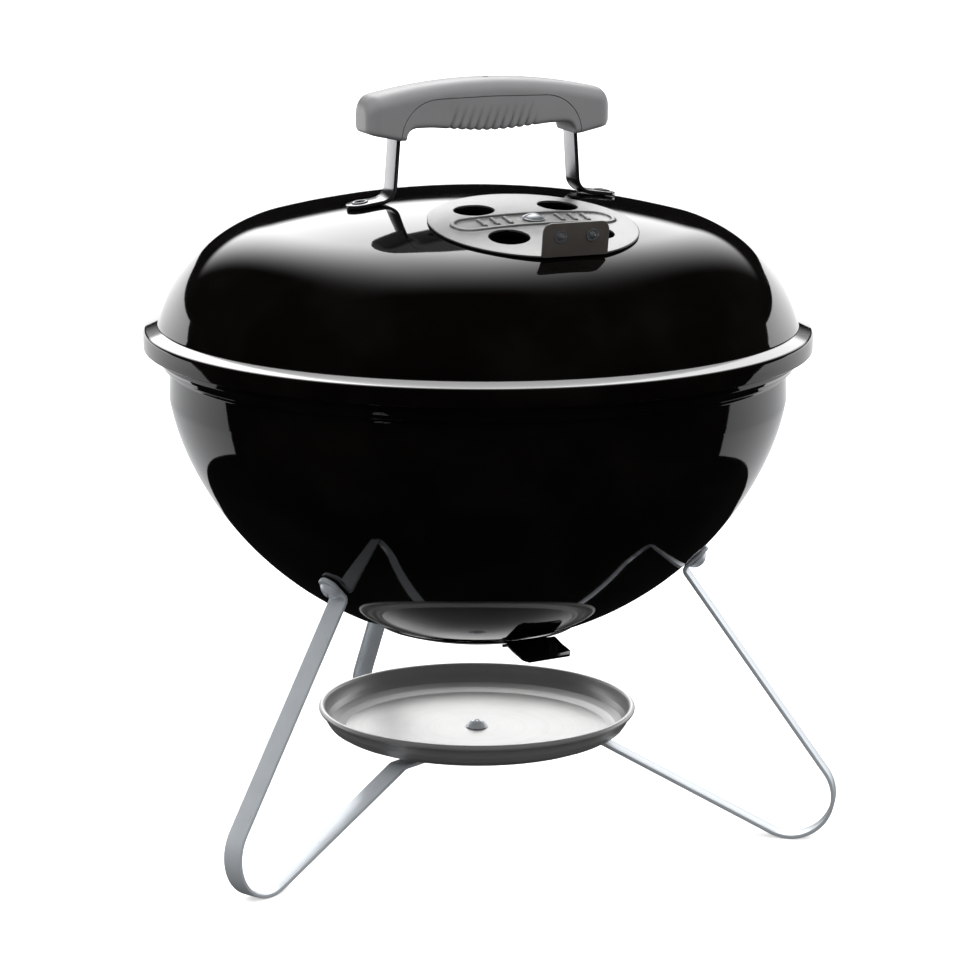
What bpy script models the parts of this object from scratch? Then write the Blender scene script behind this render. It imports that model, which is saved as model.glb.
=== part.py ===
"""A portable kettle charcoal grill, with its lid closed.

The enamelled bowl stands on three bent strip legs, which meet under an ash pan. The lid lifts straight
off the bowl. A vent damper turns on the lid and another under the bowl, and two wire grates lie inside.
Metres, +Z up. The origin is on the ground, at the middle of the footprint, and one leg points to +Y.
"""

import math

import bmesh
import bpy
from mathutils import Matrix, Vector

# Sheet metal and clearances
SHEET = 0.0012
GAP = 0.0003
TURN_STEPS = 36

# Bowl: a body of one formula, a neck, a ledge for the grate and a rolled rim
BOWL_RADIUS = 0.172
BOWL_SHOULDER_Z = 0.2581
BOWL_DEPTH = 0.1482
BOWL_FULLNESS = 1.18
NECK_RADIUS = BOWL_RADIUS - 0.0016
LEDGE_BOTTOM_Z = 0.2630
LEDGE_TOP_Z = 0.2706
RIM_WALL_RADIUS = BOWL_RADIUS + 0.0062
RIM_BEAD_RADIUS = 0.0022

# Lid: a shallow crown, a round shoulder, a sloping ledge and a skirt that drops over the bowl's rim
DOME_RADIUS = BOWL_RADIUS + 0.0045
DOME_BASE_Z = 0.2875
LID_TOP_Z = 0.3600
CROWN_RADIUS = 0.495
SHOULDER_RADIUS = 0.0775
SKIRT_RADIUS = RIM_WALL_RADIUS + 0.0068
SKIRT_HEIGHT = 0.0090
RIM_SLOPE = math.radians(12)
LID_TURN = math.radians(2.3)

# Vents: the same disc on the lid and under the bowl
DAMPER_RADIUS = 0.0568
DAMPER_SHEET = 0.0010
DAMPER_RING = 0.019
VENT_RADIUS = 0.0112
VENT_PITCH_RADIUS = 0.0345
VENT_COUNT = 4
VENT_HOLE_MARGIN = 0.0007
LID_VENT_OFFSET = 0.0755
BOWL_DAMPER_TURN = math.radians(-78)
TAB_WIDTH = 0.036
TAB_HEIGHT = 0.0185
TAB_SHEET = 0.0016
LUG_HEIGHT = 0.0145
TAB_RIVET_SPACING = 0.018
BOWL_TAB_LENGTH = 0.0195
BOWL_TAB_DROP = math.radians(20)
RIVET_SHANK_RADIUS = 0.003
RIVET_HEAD_RADIUS = 0.007
TAB_RIVET_RADIUS = 0.0012
TAB_RIVET_HEAD_RADIUS = 0.0023
TAB_RIVET_HEAD_HEIGHT = 0.0011
LID_TAB_RIVET_RISE = 0.0112
SEAT_RISE = 0.0002
WASHER_THICKNESS = 0.0010
WASHER_RADIUS = 0.0080
RIVET_HEAD_HEIGHT = 0.0022
UPSET_LIP = 0.0015
UPSET_HEIGHT = 0.0015
DRILL_REACH = 0.03

# Handle: a plated strip bracket with turned-out feet, and a grip in two mouldings
STRIP_WIDTH = 0.0155
STRIP_THICKNESS = 0.0022
STRUT_OFFSET = 0.0532
FOOT_REACH = 0.0795
FOOT_BOLT_OFFSET = 0.0718
GRIP_HALF_LENGTH = 0.0718
GRIP_WIDTH = 0.028
GRIP_TOP_Z = 0.4232
GRIP_END_Z = 0.3925
GRIP_END_LIFT = 0.0040
GRIP_ARCH = 0.0112
PARTING_Z = 0.4135
PARTING_ARCH = 0.0030
PARTING_BEND = 0.0140
INSERT_LEG = 0.0040
INSERT_UNDER_Z = 0.3974
GRIP_SCREW_OFFSET = 0.033
GRIP_SCREW_RADIUS = 0.0015
GRIP_SCREW_HEAD_RADIUS = 0.0030
GRIP_ROUNDING = 0.0070
INSERT_ROUNDING = 0.0030
FOOT_RIVET_HEAD_RADIUS = 0.0048
FOOT_WASHER_RADIUS = 0.0065

# Legs: one strip each, bolted to the bowl, bent round a foot and back under the ash pan
LEG_AZIMUTHS = {"right": math.radians(-30), "rear": math.radians(90), "left": math.radians(210)}
LEG_WIDTH = 0.0120
LEG_BOLT_BOWL_RADIUS = BOWL_RADIUS - 0.0502
LEG_TAB_HALF_LENGTH = 0.009
LEG_TOP_BEND_RADIUS = 0.0030
LEG_FOOT_CENTRE = BOWL_RADIUS + 0.0065
LEG_FOOT_RADIUS = 0.0251
LEG_INNER_BEND = 0.0680
LEG_END = 0.0095
LEG_BOLT_RADIUS = 0.0025
LEG_BOLT_HEAD_RADIUS = 0.0062
BOLT_HEAD_HEIGHT = 0.0040
BOLT_END = 0.0022
NUT_ACROSS = 0.0080
NUT_HEIGHT = 0.0040
FOOT_FLAT = 0.06

# Ash pan: a spun dish with a rolled edge, a step inside and a domed bolt through its middle
PAN_RADIUS = 0.0893
PAN_RIM_Z = 0.0690
PAN_FLOOR_RADIUS = 0.0745
PAN_DEPTH = 0.0154
PAN_BEAD_RADIUS = 0.0017

# Grates: round wire grids
COOKING_GRATE_RADIUS = BOWL_RADIUS - 0.0018
COOKING_WIRE_RADIUS = 0.0024
COOKING_ROD_COUNT = 15
CHARCOAL_GRATE_RADIUS = 0.1285
CHARCOAL_WIRE_RADIUS = 0.0024
CHARCOAL_ROD_COUNT = 9
ROD_RADIUS = 0.0017
ROD_SINK = 0.0008


def clear_scene():
    for old in list(bpy.data.objects):
        bpy.data.objects.remove(old, do_unlink=True)


clear_scene()
parts = bpy.data.collections.new("kettle_charcoal_grill")
cutters = bpy.data.collections.new("cutters")
cutters.hide_render = True
bpy.context.scene.collection.children.link(parts)
bpy.context.scene.collection.children.link(cutters)


def finish(name, colour, roughness, metallic):
    """A Principled material."""
    made = bpy.data.materials.new(name)
    made.use_nodes = True
    shader = made.node_tree.nodes["Principled BSDF"]
    shader.inputs["Base Color"].default_value = (*colour, 1)
    shader.inputs["Roughness"].default_value = roughness
    shader.inputs["Metallic"].default_value = metallic
    return made


enamel = finish("black_enamel", (0.008, 0.008, 0.009), 0.08, 0.0)
aluminium = finish("brushed_aluminium", (0.72, 0.72, 0.71), 0.32, 1.0)
plated = finish("plated_steel", (0.66, 0.69, 0.72), 0.22, 1.0)
grate_steel = finish("grate_steel", (0.70, 0.70, 0.69), 0.3, 1.0)
grip_plastic = finish("grip_plastic", (0.13, 0.14, 0.145), 0.5, 0.0)
tab_black = finish("dark_tab", (0.05, 0.045, 0.042), 0.4, 0.0)


# Placing and cutting


def empty(name, parent, place):
    """A joint's or a group's frame."""
    made = bpy.data.objects.new(name, None)
    parts.objects.link(made)
    made.parent = parent
    made.matrix_local = place
    return made


def put(name, mesh, material, parent, place=Matrix.Identity(4)):
    """A piece of the grill under its parent frame."""
    made = bpy.data.objects.new(name, mesh)
    parts.objects.link(made)
    mesh.materials.append(material)
    made.parent = parent
    made.matrix_local = place
    return made


def cutter(name, mesh, parent, place):
    """A helper that only shapes other pieces."""
    made = bpy.data.objects.new(name, mesh)
    cutters.objects.link(made)
    made.parent = parent
    made.matrix_local = place
    made.hide_render = True
    made.display_type = "WIRE"
    return made


def boolean(piece, tool, operation="DIFFERENCE"):
    modifier = piece.modifiers.new(tool.name, "BOOLEAN")
    modifier.operation = operation
    modifier.solver = "EXACT"
    modifier.object = tool


def rod_mesh(name, radius, low, high, sides):
    """A cylinder on Z from low to high."""
    mesh = bpy.data.meshes.new(name)
    shape = bmesh.new()
    middle = Matrix.Translation((0, 0, (low + high) / 2))
    bmesh.ops.create_cone(
        shape, cap_ends=True, segments=sides, radius1=radius, radius2=radius, depth=high - low, matrix=middle
    )
    shape.to_mesh(mesh)
    shape.free()
    return mesh


def box_mesh(name, low, high):
    """A box between two corners."""
    mesh = bpy.data.meshes.new(name)
    shape = bmesh.new()
    low, high = Vector(low), Vector(high)
    size = Matrix.Diagonal((*(high - low), 1))
    bmesh.ops.create_cube(shape, size=1, matrix=Matrix.Translation((low + high) / 2) @ size)
    shape.to_mesh(mesh)
    shape.free()
    return mesh


def drill(piece, name, radius, low, high, parent, place, sides=12):
    """A round hole through a piece, along the Z of the given place."""
    boolean(piece, cutter(name, rod_mesh(name, radius, low, high, sides), parent, place))


def turned(name, profile, material, parent, place=Matrix.Identity(4), steps=TURN_STEPS):
    """A profile of (radius, height) turned round Z; it runs down the outside and back inside."""
    mesh = bpy.data.meshes.new(name)
    shape = bmesh.new()
    corners = [shape.verts.new((radius, 0, height)) for radius, height in profile]
    for first, second in zip(corners, corners[1:]):
        shape.edges.new((first, second))
    if profile[0][0] > 0 or profile[-1][0] > 0:
        shape.edges.new((corners[-1], corners[0]))
    shape.to_mesh(mesh)
    shape.free()
    piece = put(name, mesh, material, parent, place)
    screw = piece.modifiers.new("turn", "SCREW")
    screw.steps = steps
    screw.render_steps = steps
    screw.use_merge_vertices = True
    screw.merge_threshold = 0.00001
    screw.use_smooth_shade = True
    return piece


# Outlines in the plane of (radius, height)


def arc(centre, radius, start, end, steps):
    """Points on an arc, angles from the +X side towards +Y."""
    span = [start + (end - start) * step / steps for step in range(steps + 1)]
    return [(centre[0] + radius * math.cos(a), centre[1] + radius * math.sin(a)) for a in span]


def offset(line, distance):
    """The line moved to its left by distance, its corners mitred."""
    moved = []
    for index, point in enumerate(line):
        here = Vector(point)
        before = here - Vector(line[index - 1]) if index else None
        after = Vector(line[index + 1]) - here if index < len(line) - 1 else None
        first = (before or after).normalized()
        second = (after or before).normalized()
        normal = Vector((-first.y - second.y, first.x + second.x)).normalized()
        reach = distance / max(0.3, normal.dot(Vector((-first.y, first.x))))
        moved.append(tuple(here + normal * reach))
    return moved


def fillet(before, corner, after, radius, steps):
    """The corner replaced by an arc that meets both sides."""
    before, corner, after = Vector(before), Vector(corner), Vector(after)
    back = (before - corner).normalized()
    on = (after - corner).normalized()
    half = back.angle(on) / 2
    centre = corner + (back + on).normalized() * (radius / math.sin(half))
    start = corner + back * (radius / math.tan(half)) - centre
    end = corner + on * (radius / math.tan(half)) - centre
    first = math.atan2(start.y, start.x)
    turn = (math.atan2(end.y, end.x) - first + math.pi) % (2 * math.pi) - math.pi
    return arc(centre, radius, first, first + turn, steps)


def tangent_angle(point, centre, radius, side):
    """The angle on a circle where the line from the point touches it, on one side or the other."""
    away = Vector(point) - Vector(centre)
    return math.atan2(away.y, away.x) + side * math.acos(radius / away.length)


def strip_mesh(name, path, thickness, width):
    """A flat strip bent along the path, which is its middle line seen edge on."""
    outline = offset(path, thickness / 2) + offset(path, -thickness / 2)[::-1]
    return plate_mesh(name, outline, width)


def plate_mesh(name, outline, thickness):
    """A flat outline in XY, extruded both ways along Z and closed."""
    curve = bpy.data.curves.new(name, "CURVE")
    curve.dimensions = "2D"
    curve.fill_mode = "BOTH"
    curve.extrude = thickness / 2
    spline = curve.splines.new("POLY")
    spline.points.add(len(outline) - 1)
    for point, corner in zip(spline.points, outline):
        point.co = (*corner, 0, 1)
    spline.use_cyclic_u = True
    drawn = bpy.data.objects.new(name, curve)
    cutters.objects.link(drawn)
    bpy.context.view_layer.update()
    mesh = bpy.data.meshes.new_from_object(drawn.evaluated_get(bpy.context.evaluated_depsgraph_get()))
    bpy.data.objects.remove(drawn)
    shape = bmesh.new()
    shape.from_mesh(mesh)
    bmesh.ops.remove_doubles(shape, verts=shape.verts, dist=0.00001)
    bmesh.ops.recalc_face_normals(shape, faces=shape.faces)
    shape.to_mesh(mesh)
    shape.free()
    mesh.shade_smooth()
    mesh.set_sharp_from_angle(angle=math.radians(35))
    return mesh


def soften(mesh, line, width, segments):
    """Rounds a plate's two long edges where they run along part of its outline."""
    shape = bmesh.new()
    shape.from_mesh(mesh)
    for side in (-1, 1):
        flat = [face for face in shape.faces if face.normal.z * side > 0.9]
        bmesh.ops.dissolve_faces(shape, faces=flat)
    spots = {(round(x, 5), round(y, 5)) for x, y in line}
    on_line = {v for v in shape.verts if (round(v.co.x, 5), round(v.co.y, 5)) in spots}
    edges = [
        edge
        for edge in shape.edges
        if on_line.issuperset(edge.verts)
        and edge.verts[0].co.z * edge.verts[1].co.z > 0
        and edge.calc_face_angle() > 1
    ]
    bmesh.ops.bevel(shape, geom=edges, offset=width, segments=segments, profile=0.5, affect="EDGES")
    shape.to_mesh(mesh)
    shape.free()
    mesh.set_sharp_from_angle(angle=math.radians(35))
    return mesh


def domed_head(radius, height, shank_radius, low, steps=5):
    """The profile of a rivet or bolt: a dome from the axis at z = height, a flat seat at 0, a shank to low."""
    ball = (radius**2 + height**2) / (2 * height)
    top = math.asin(radius / ball)
    dome = arc((0, height - ball), ball, math.pi / 2, math.pi / 2 - top, steps)
    return [(0, height)] + dome[1:] + [(shank_radius, 0), (shank_radius, low), (0, low)]


def upset(profile, lip, height):
    """A rivet's profile with its far end spread by a lip."""
    shank_radius, low = profile[-2]
    return profile[:-1] + [(shank_radius + lip, low), (shank_radius + lip, low - height), (0, low - height)]


def nut(name, across, height, bore, material, parent, place):
    """A hexagon nut, its bottom at z = 0."""
    piece = put(name, rod_mesh(name, across / math.sqrt(3), 0, height, 6), material, parent, place)
    drill(piece, f"{name}_bore", bore, -height, 2 * height, parent, place, sides=10)
    return piece


# The frame of the whole grill. Its footprint reaches from the rear foot to the skirt's front.
rear_reach = max(SKIRT_RADIUS, LEG_FOOT_CENTRE + LEG_FOOT_RADIUS)
kettle = empty("kettle_axis", None, Matrix.Translation((0, (SKIRT_RADIUS - rear_reach) / 2, 0)))
lid_axis = empty("lid_axis", kettle, Matrix.Rotation(LID_TURN, 4, "Z"))


# Bowl


def bowl_point(angle):
    """The body's outside at an angle from the bottom (0) to the shoulder (90 degrees)."""
    height = BOWL_SHOULDER_Z - BOWL_DEPTH * math.cos(angle) ** BOWL_FULLNESS
    return BOWL_RADIUS * math.sin(angle), height


def bowl_slope(radius):
    """The body's slope at a radius, in radians from level."""
    angle = math.asin(radius / BOWL_RADIUS)
    step = 0.001
    low, high = bowl_point(angle - step), bowl_point(angle + step)
    return math.atan2(high[1] - low[1], high[0] - low[0])


def bowl_outline():
    """The bowl's outside, from the top of its rolled rim down to the axis."""
    bead_centre = (RIM_WALL_RADIUS, rim_top_z - RIM_BEAD_RADIUS)
    bead = arc(bead_centre, RIM_BEAD_RADIUS, math.radians(90), math.radians(-90), 4)
    ledge = RIM_WALL_RADIUS - NECK_RADIUS
    drop = LEDGE_TOP_Z - LEDGE_BOTTOM_Z
    steps = [
        (RIM_WALL_RADIUS - SHEET / 2, bead_centre[1] - RIM_BEAD_RADIUS),
        (RIM_WALL_RADIUS - SHEET / 2, LEDGE_TOP_Z),
        (RIM_WALL_RADIUS - 0.35 * ledge, LEDGE_TOP_Z - 0.25 * drop),
        (RIM_WALL_RADIUS - 0.45 * ledge, LEDGE_TOP_Z - 0.60 * drop),
        (RIM_WALL_RADIUS - 0.85 * ledge, LEDGE_TOP_Z - 0.80 * drop),
        (NECK_RADIUS, LEDGE_BOTTOM_Z),
    ]
    body = [bowl_point(math.radians(degrees)) for degrees in (82, 70, 58, 47, 37, 28, 20, 12, 5)]
    return bead, steps, body


# The lid's ledge rests on the rolled rim
ledge_width = SKIRT_RADIUS - DOME_RADIUS
rim_drop = (RIM_WALL_RADIUS - DOME_RADIUS) * math.tan(RIM_SLOPE)
rim_top_z = DOME_BASE_Z - rim_drop - SHEET / math.cos(RIM_SLOPE) - GAP - RIM_BEAD_RADIUS * RIM_SLOPE / 4

bead, rim_steps, body = bowl_outline()
outside = rim_steps + body
inside = offset(outside + [(0, BOWL_SHOULDER_Z - BOWL_DEPTH)], -SHEET)
inside[-1] = (0, inside[-1][1])
inner_top = (inside[0][0], rim_top_z - RIM_BEAD_RADIUS)
bowl_profile = (
    bead + outside + [(0, BOWL_SHOULDER_Z - BOWL_DEPTH)] + inside[::-1][:-1] + [inner_top]
)
bowl = turned("bowl", bowl_profile, enamel, kettle)


def rest_height(radius, reach):
    """How low a ring of wire of this radius can lie inside the bowl, keeping its reach from the wall."""
    lowest = 0
    for first, second in zip(inside, inside[1:]):
        for step in range(21):
            at = first[0] + (second[0] - first[0]) * step / 20 - radius
            if abs(at) < reach:
                height = first[1] + (second[1] - first[1]) * step / 20
                lowest = max(lowest, height + math.sqrt(reach**2 - at**2))
    return lowest


# Lid


def dome_outline(inset):
    """The dome from its top to its base: two arcs that meet smoothly, drawn inset from the outside."""
    centre_z = LID_TOP_Z - CROWN_RADIUS
    base = Vector((DOME_RADIUS, DOME_BASE_Z - centre_z))
    between = CROWN_RADIUS - SHOULDER_RADIUS
    cosine = (base.length_squared + between**2 - SHOULDER_RADIUS**2) / (2 * base.length * between)
    join = math.atan2(base.x, base.y) - math.acos(cosine)
    shoulder = Vector((between * math.sin(join), centre_z + between * math.cos(join)))
    base_angle = math.atan2(DOME_BASE_Z - shoulder.y, DOME_RADIUS - shoulder.x)
    crown = arc((0, centre_z), CROWN_RADIUS - inset, math.pi / 2, math.pi / 2 - join, 4)
    side = arc(shoulder, SHOULDER_RADIUS - inset, math.pi / 2 - join, base_angle, 7)
    return crown[:-1] + side


def crown_height(radius):
    return LID_TOP_Z - CROWN_RADIUS + math.sqrt(CROWN_RADIUS**2 - radius**2)


skirt_top_z = DOME_BASE_Z - ledge_width * math.tan(RIM_SLOPE)
skirt_bottom_z = skirt_top_z - SKIRT_HEIGHT
turn_in = 0.0012
lid_outside = [
    (SKIRT_RADIUS - turn_in, skirt_top_z + turn_in * math.tan(RIM_SLOPE)),
    (SKIRT_RADIUS, skirt_top_z - turn_in),
    (SKIRT_RADIUS, skirt_bottom_z),
]
under = SHEET / math.cos(RIM_SLOPE)
skirt_inside = SKIRT_RADIUS - SHEET
dome_inside = dome_outline(SHEET)
lid_inside = [
    (skirt_inside, skirt_bottom_z),
    (skirt_inside, skirt_top_z + SHEET * math.tan(RIM_SLOPE) - under),
    (dome_inside[-1][0], DOME_BASE_Z + SHEET * math.tan(RIM_SLOPE) - under),
]
lid_profile = dome_outline(0) + lid_outside + lid_inside + dome_inside[::-1][1:]
lid_profile[0] = (0, LID_TOP_Z)
lid_profile[-1] = (0, LID_TOP_Z - SHEET)
lid = turned("lid", lid_profile, enamel, lid_axis)


# Dampers

lid_vent_tilt = math.asin(LID_VENT_OFFSET / CROWN_RADIUS)
lid_vent_place = (
    Matrix.Rotation(math.radians(-90), 4, "Z")
    @ Matrix.Translation((LID_VENT_OFFSET, 0, crown_height(LID_VENT_OFFSET)))
    @ Matrix.Rotation(lid_vent_tilt, 4, "Y")
)
lid_vent = empty("lid_damper_axis", lid_axis, lid_vent_place)
# The bowl's damper hangs upside down, so its frame is turned over about its tab
bowl_bottom = BOWL_SHOULDER_Z - BOWL_DEPTH
bowl_vent_place = (
    Matrix.Translation((0, 0, bowl_bottom))
    @ Matrix.Rotation(BOWL_DAMPER_TURN, 4, "Z")
    @ Matrix.Rotation(math.pi, 4, "X")
)
bowl_vent = empty("bowl_damper_axis", kettle, bowl_vent_place)


def lid_crown_sag(radius):
    """How far the crown falls below its level at the vent's middle, at a distance from there."""
    return CROWN_RADIUS - math.sqrt(CROWN_RADIUS**2 - radius**2)


def bowl_sag(radius):
    """The same for the bowl's bottom, measured up from its lowest point."""
    return bowl_point(math.asin(radius / BOWL_RADIUS))[1] - bowl_bottom


def vent_spots(count):
    """The holes' middles in the damper's frame; the tab is at +X, midway between two holes."""
    turn = 2 * math.pi / count
    turns = [Matrix.Rotation(turn * (index + 0.5), 4, "Z") for index in range(count)]
    return [rotation @ Matrix.Translation((VENT_PITCH_RADIUS, 0, 0)) for rotation in turns]


def damper_disc(name, sag, material, axis, edge):
    """A dished disc that follows the shell under it, cut straight where its lug or tab stands."""
    rings = math.ceil(DAMPER_RADIUS / DAMPER_RING)
    radii = [DAMPER_RADIUS * index / rings for index in range(rings + 1)]
    top = [(radius, GAP + DAMPER_SHEET + SEAT_RISE - sag(radius)) for radius in radii]
    bottom = [(radius, GAP + SEAT_RISE - sag(radius)) for radius in radii]
    disc = turned(name, top + bottom[::-1], material, axis, steps=28)
    for index, spot in enumerate(vent_spots(VENT_COUNT)):
        drill(disc, f"{name}_vent_{index + 1}", VENT_RADIUS, -DRILL_REACH, DRILL_REACH, axis, spot, sides=12)
    pivot_bore = RIVET_SHANK_RADIUS + GAP
    drill(disc, f"{name}_pivot_hole", pivot_bore, -DRILL_REACH, DRILL_REACH, axis, Matrix.Identity(4))
    reach = 2 * DAMPER_RADIUS
    chord = box_mesh(f"{name}_chord", (edge, -reach, -DRILL_REACH), (reach, reach, DRILL_REACH))
    boolean(disc, cutter(f"{name}_chord", chord, axis, Matrix.Identity(4)))
    return disc


def vent_holes(shell, name, axis):
    """The shell's own holes, a little smaller than the damper's so that the damper seals round them."""
    radius = VENT_RADIUS - VENT_HOLE_MARGIN
    for index, spot in enumerate(vent_spots(VENT_COUNT)):
        drill(shell, f"{name}_vent_{index + 1}", radius, -DRILL_REACH, DRILL_REACH, axis, spot, sides=12)
    drill(shell, f"{name}_pivot_hole", RIVET_SHANK_RADIUS + GAP, -0.01, 0.01, axis, Matrix.Identity(4))


def damper_rivet(name, axis):
    """The pivot: a domed head over the disc and a shank through the shell, spread over a washer inside."""
    seat = Matrix.Translation((0, 0, GAP + SEAT_RISE + DAMPER_SHEET + GAP))
    length = GAP + SEAT_RISE + DAMPER_SHEET + GAP + SHEET + WASHER_THICKNESS + 4 * GAP + bowl_sag(WASHER_RADIUS)
    profile = domed_head(RIVET_HEAD_RADIUS, RIVET_HEAD_HEIGHT, RIVET_SHANK_RADIUS, -length)
    turned(name, upset(profile, UPSET_LIP, UPSET_HEIGHT), plated, axis, seat, steps=12)


def washer(name, bore, radius, thickness, material, parent, place):
    profile = [(bore, thickness), (radius, thickness), (radius, 0), (bore, 0)]
    return turned(name, profile, material, parent, place, steps=12)


tab_edge = math.sqrt(DAMPER_RADIUS**2 - (TAB_WIDTH / 2) ** 2) - 0.0006

vent_holes(lid, "lid", lid_vent)
lid_damper = damper_disc("lid_damper", lid_crown_sag, aluminium, lid_vent, tab_edge)
lug_low = -lid_crown_sag(tab_edge) + GAP + SEAT_RISE
lug = box_mesh(
    "lid_damper_lug",
    (tab_edge - DAMPER_SHEET, -TAB_WIDTH / 2 + 0.002, lug_low + 0.0003),
    (tab_edge + 0.00001, TAB_WIDTH / 2 - 0.002, lug_low + LUG_HEIGHT),
)
boolean(lid_damper, cutter("lid_damper_lug", lug, lid_vent, Matrix.Identity(4)), "UNION")
damper_rivet("lid_damper_rivet", lid_vent)
under_lid = Matrix.Translation((0, 0, -SHEET - 2 * GAP - WASHER_THICKNESS))
washer(
    "lid_damper_washer",
    RIVET_SHANK_RADIUS + GAP,
    WASHER_RADIUS,
    WASHER_THICKNESS,
    plated,
    lid_vent,
    under_lid,
)

# The lid's tab stands against the lug's outer face, in YZ of the damper's frame
upright = Matrix.Rotation(math.radians(90), 4, "Y") @ Matrix.Rotation(math.radians(90), 4, "Z")


def tab_outline(width, low, high, corner):
    """A plate with two rounded upper corners."""
    half = width / 2
    left = arc((-half + corner, high - corner), corner, math.pi, math.pi / 2, 4)
    right = arc((half - corner, high - corner), corner, math.pi / 2, 0, 4)
    return [(-half, low)] + left + right + [(half, low)]


tab_low = -lid_crown_sag(tab_edge + 0.003) + 0.0008
lid_tab_mesh = plate_mesh(
    "lid_damper_tab", tab_outline(TAB_WIDTH, tab_low, tab_low + TAB_HEIGHT, 0.0055), TAB_SHEET
)
tab_middle = tab_edge + GAP + TAB_SHEET / 2
lid_tab_place = Matrix.Translation((tab_middle, 0, 0)) @ upright
lid_tab = put("lid_damper_tab", lid_tab_mesh, tab_black, lid_vent, lid_tab_place)
rivet_height = lug_low + LID_TAB_RIVET_RISE


def tab_rivets(names, tab, disc, axis, faces, clamped):
    """Two small rivets that clamp a tab: heads outside, a spread end behind."""
    for name, face in zip(names, faces):
        hole = TAB_RIVET_RADIUS + GAP / 2
        drill(tab, f"{name}_hole", hole, -0.004, 0.002, axis, face, sides=12)
        drill(disc, f"{name}_lug_hole", hole, -0.004, 0.002, axis, face, sides=12)
        profile = domed_head(TAB_RIVET_HEAD_RADIUS, TAB_RIVET_HEAD_HEIGHT, TAB_RIVET_RADIUS, -clamped, steps=3)
        turned(name, upset(profile, UPSET_LIP / 2, UPSET_HEIGHT / 2), plated, axis, face, steps=10)


clamped_lug = TAB_SHEET + DAMPER_SHEET + 3 * GAP
lid_rivet_faces = [
    Matrix.Translation((tab_edge + TAB_SHEET + 2 * GAP, side * TAB_RIVET_SPACING / 2, rivet_height))
    @ Matrix.Rotation(math.radians(90), 4, "Y")
    for side in (-1, 1)
]
tab_rivets(
    ("lid_tab_rivet_left", "lid_tab_rivet_right"), lid_tab, lid_damper, lid_vent, lid_rivet_faces, clamped_lug
)

# The bowl's damper: its tab is a flat blade under the disc that reaches outwards and a little down
vent_holes(bowl, "bowl", bowl_vent)
bowl_damper = damper_disc("bowl_damper", bowl_sag, enamel, bowl_vent, DAMPER_RADIUS - 0.0005)
damper_rivet("bowl_damper_rivet", bowl_vent)
washer(
    "bowl_damper_washer",
    RIVET_SHANK_RADIUS + GAP,
    WASHER_RADIUS,
    WASHER_THICKNESS,
    plated,
    bowl_vent,
    Matrix.Translation((0, 0, -SHEET - 2 * GAP - WASHER_THICKNESS - bowl_sag(WASHER_RADIUS))),
)
blade_root = DAMPER_RADIUS - 0.0075
root_low, root_high = bowl_sag(blade_root - 0.003), bowl_sag(blade_root + 0.003)
root_slope = math.atan2(root_high - root_low, 0.006)
root_offset = GAP + SEAT_RISE + DAMPER_SHEET + GAP + TAB_SHEET / 2 + 0.0004
root_middle = Vector((blade_root, -bowl_sag(blade_root))) + root_offset * Vector(
    (math.sin(root_slope), math.cos(root_slope))
)
along = Vector((math.cos(root_slope), -math.sin(root_slope)))
root_start = root_middle - along * 0.006
root_end = root_middle + along * 0.0055
blade_tip = root_end + BOWL_TAB_LENGTH * Vector((math.cos(BOWL_TAB_DROP), math.sin(BOWL_TAB_DROP)))
blade_path = [tuple(root_start)] + fillet(root_start, root_end, blade_tip, 0.004, 3) + [tuple(blade_tip)]
stand_side = Matrix.Rotation(math.radians(90), 4, "X")
bowl_tab = put(
    "bowl_damper_tab",
    strip_mesh("bowl_damper_tab", blade_path, TAB_SHEET, TAB_WIDTH - 0.004),
    tab_black,
    bowl_vent,
    stand_side,
)
tab_tilt = Matrix.Rotation(root_slope, 4, "Y")
bowl_rivet_faces = [
    Matrix.Translation((root_middle.x, side * TAB_RIVET_SPACING / 2, root_middle.y))
    @ tab_tilt
    @ Matrix.Translation((0, 0, TAB_SHEET / 2 + GAP))
    for side in (-1, 1)
]
blade_clamped = GAP + TAB_SHEET + GAP + 0.0004 + 0.8 * DAMPER_SHEET
for name, face in zip(("bowl_tab_rivet_left", "bowl_tab_rivet_right"), bowl_rivet_faces):
    hole = TAB_RIVET_RADIUS + GAP / 2
    drill(bowl_tab, f"{name}_hole", hole, -0.004, 0.002, bowl_vent, face, sides=12)
    drill(bowl_damper, f"{name}_disc_hole", hole, -0.004, 0.002, bowl_vent, face, sides=12)
    blade_rivet = domed_head(
        TAB_RIVET_HEAD_RADIUS, TAB_RIVET_HEAD_HEIGHT, TAB_RIVET_RADIUS, -blade_clamped, steps=3
    )
    turned(name, blade_rivet, plated, bowl_vent, face, steps=10)


# Handle bracket


foot_slope = math.asin(FOOT_BOLT_OFFSET / CROWN_RADIUS)
foot_lift = STRIP_THICKNESS / 2 + GAP
foot_up = Vector((math.sin(foot_slope), math.cos(foot_slope)))
foot_along = Vector((math.cos(foot_slope), -math.sin(foot_slope)))
foot_middle = Vector((FOOT_BOLT_OFFSET, crown_height(FOOT_BOLT_OFFSET))) + foot_up * foot_lift


def arch(half_length, foot_z, top_z, corner, sag, steps):
    """Up one end, over a shallow arch and down the other; sag is how far the arch's ends lie below its top."""
    crown = (half_length**2 + sag**2) / (2 * sag)
    left = fillet((-half_length, foot_z), (-half_length, top_z - sag), (0, top_z + sag * 0.4), corner, 5)
    span = [-left[-1][0] * (1 - 2 * step / steps) for step in range(1, steps)]
    over = [(-x, top_z - (crown - math.sqrt(crown**2 - x**2))) for x in span]
    right = [(-x, z) for x, z in left[::-1]]
    return [(-half_length, foot_z)] + left + over + right + [(half_length, foot_z)]


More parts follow.
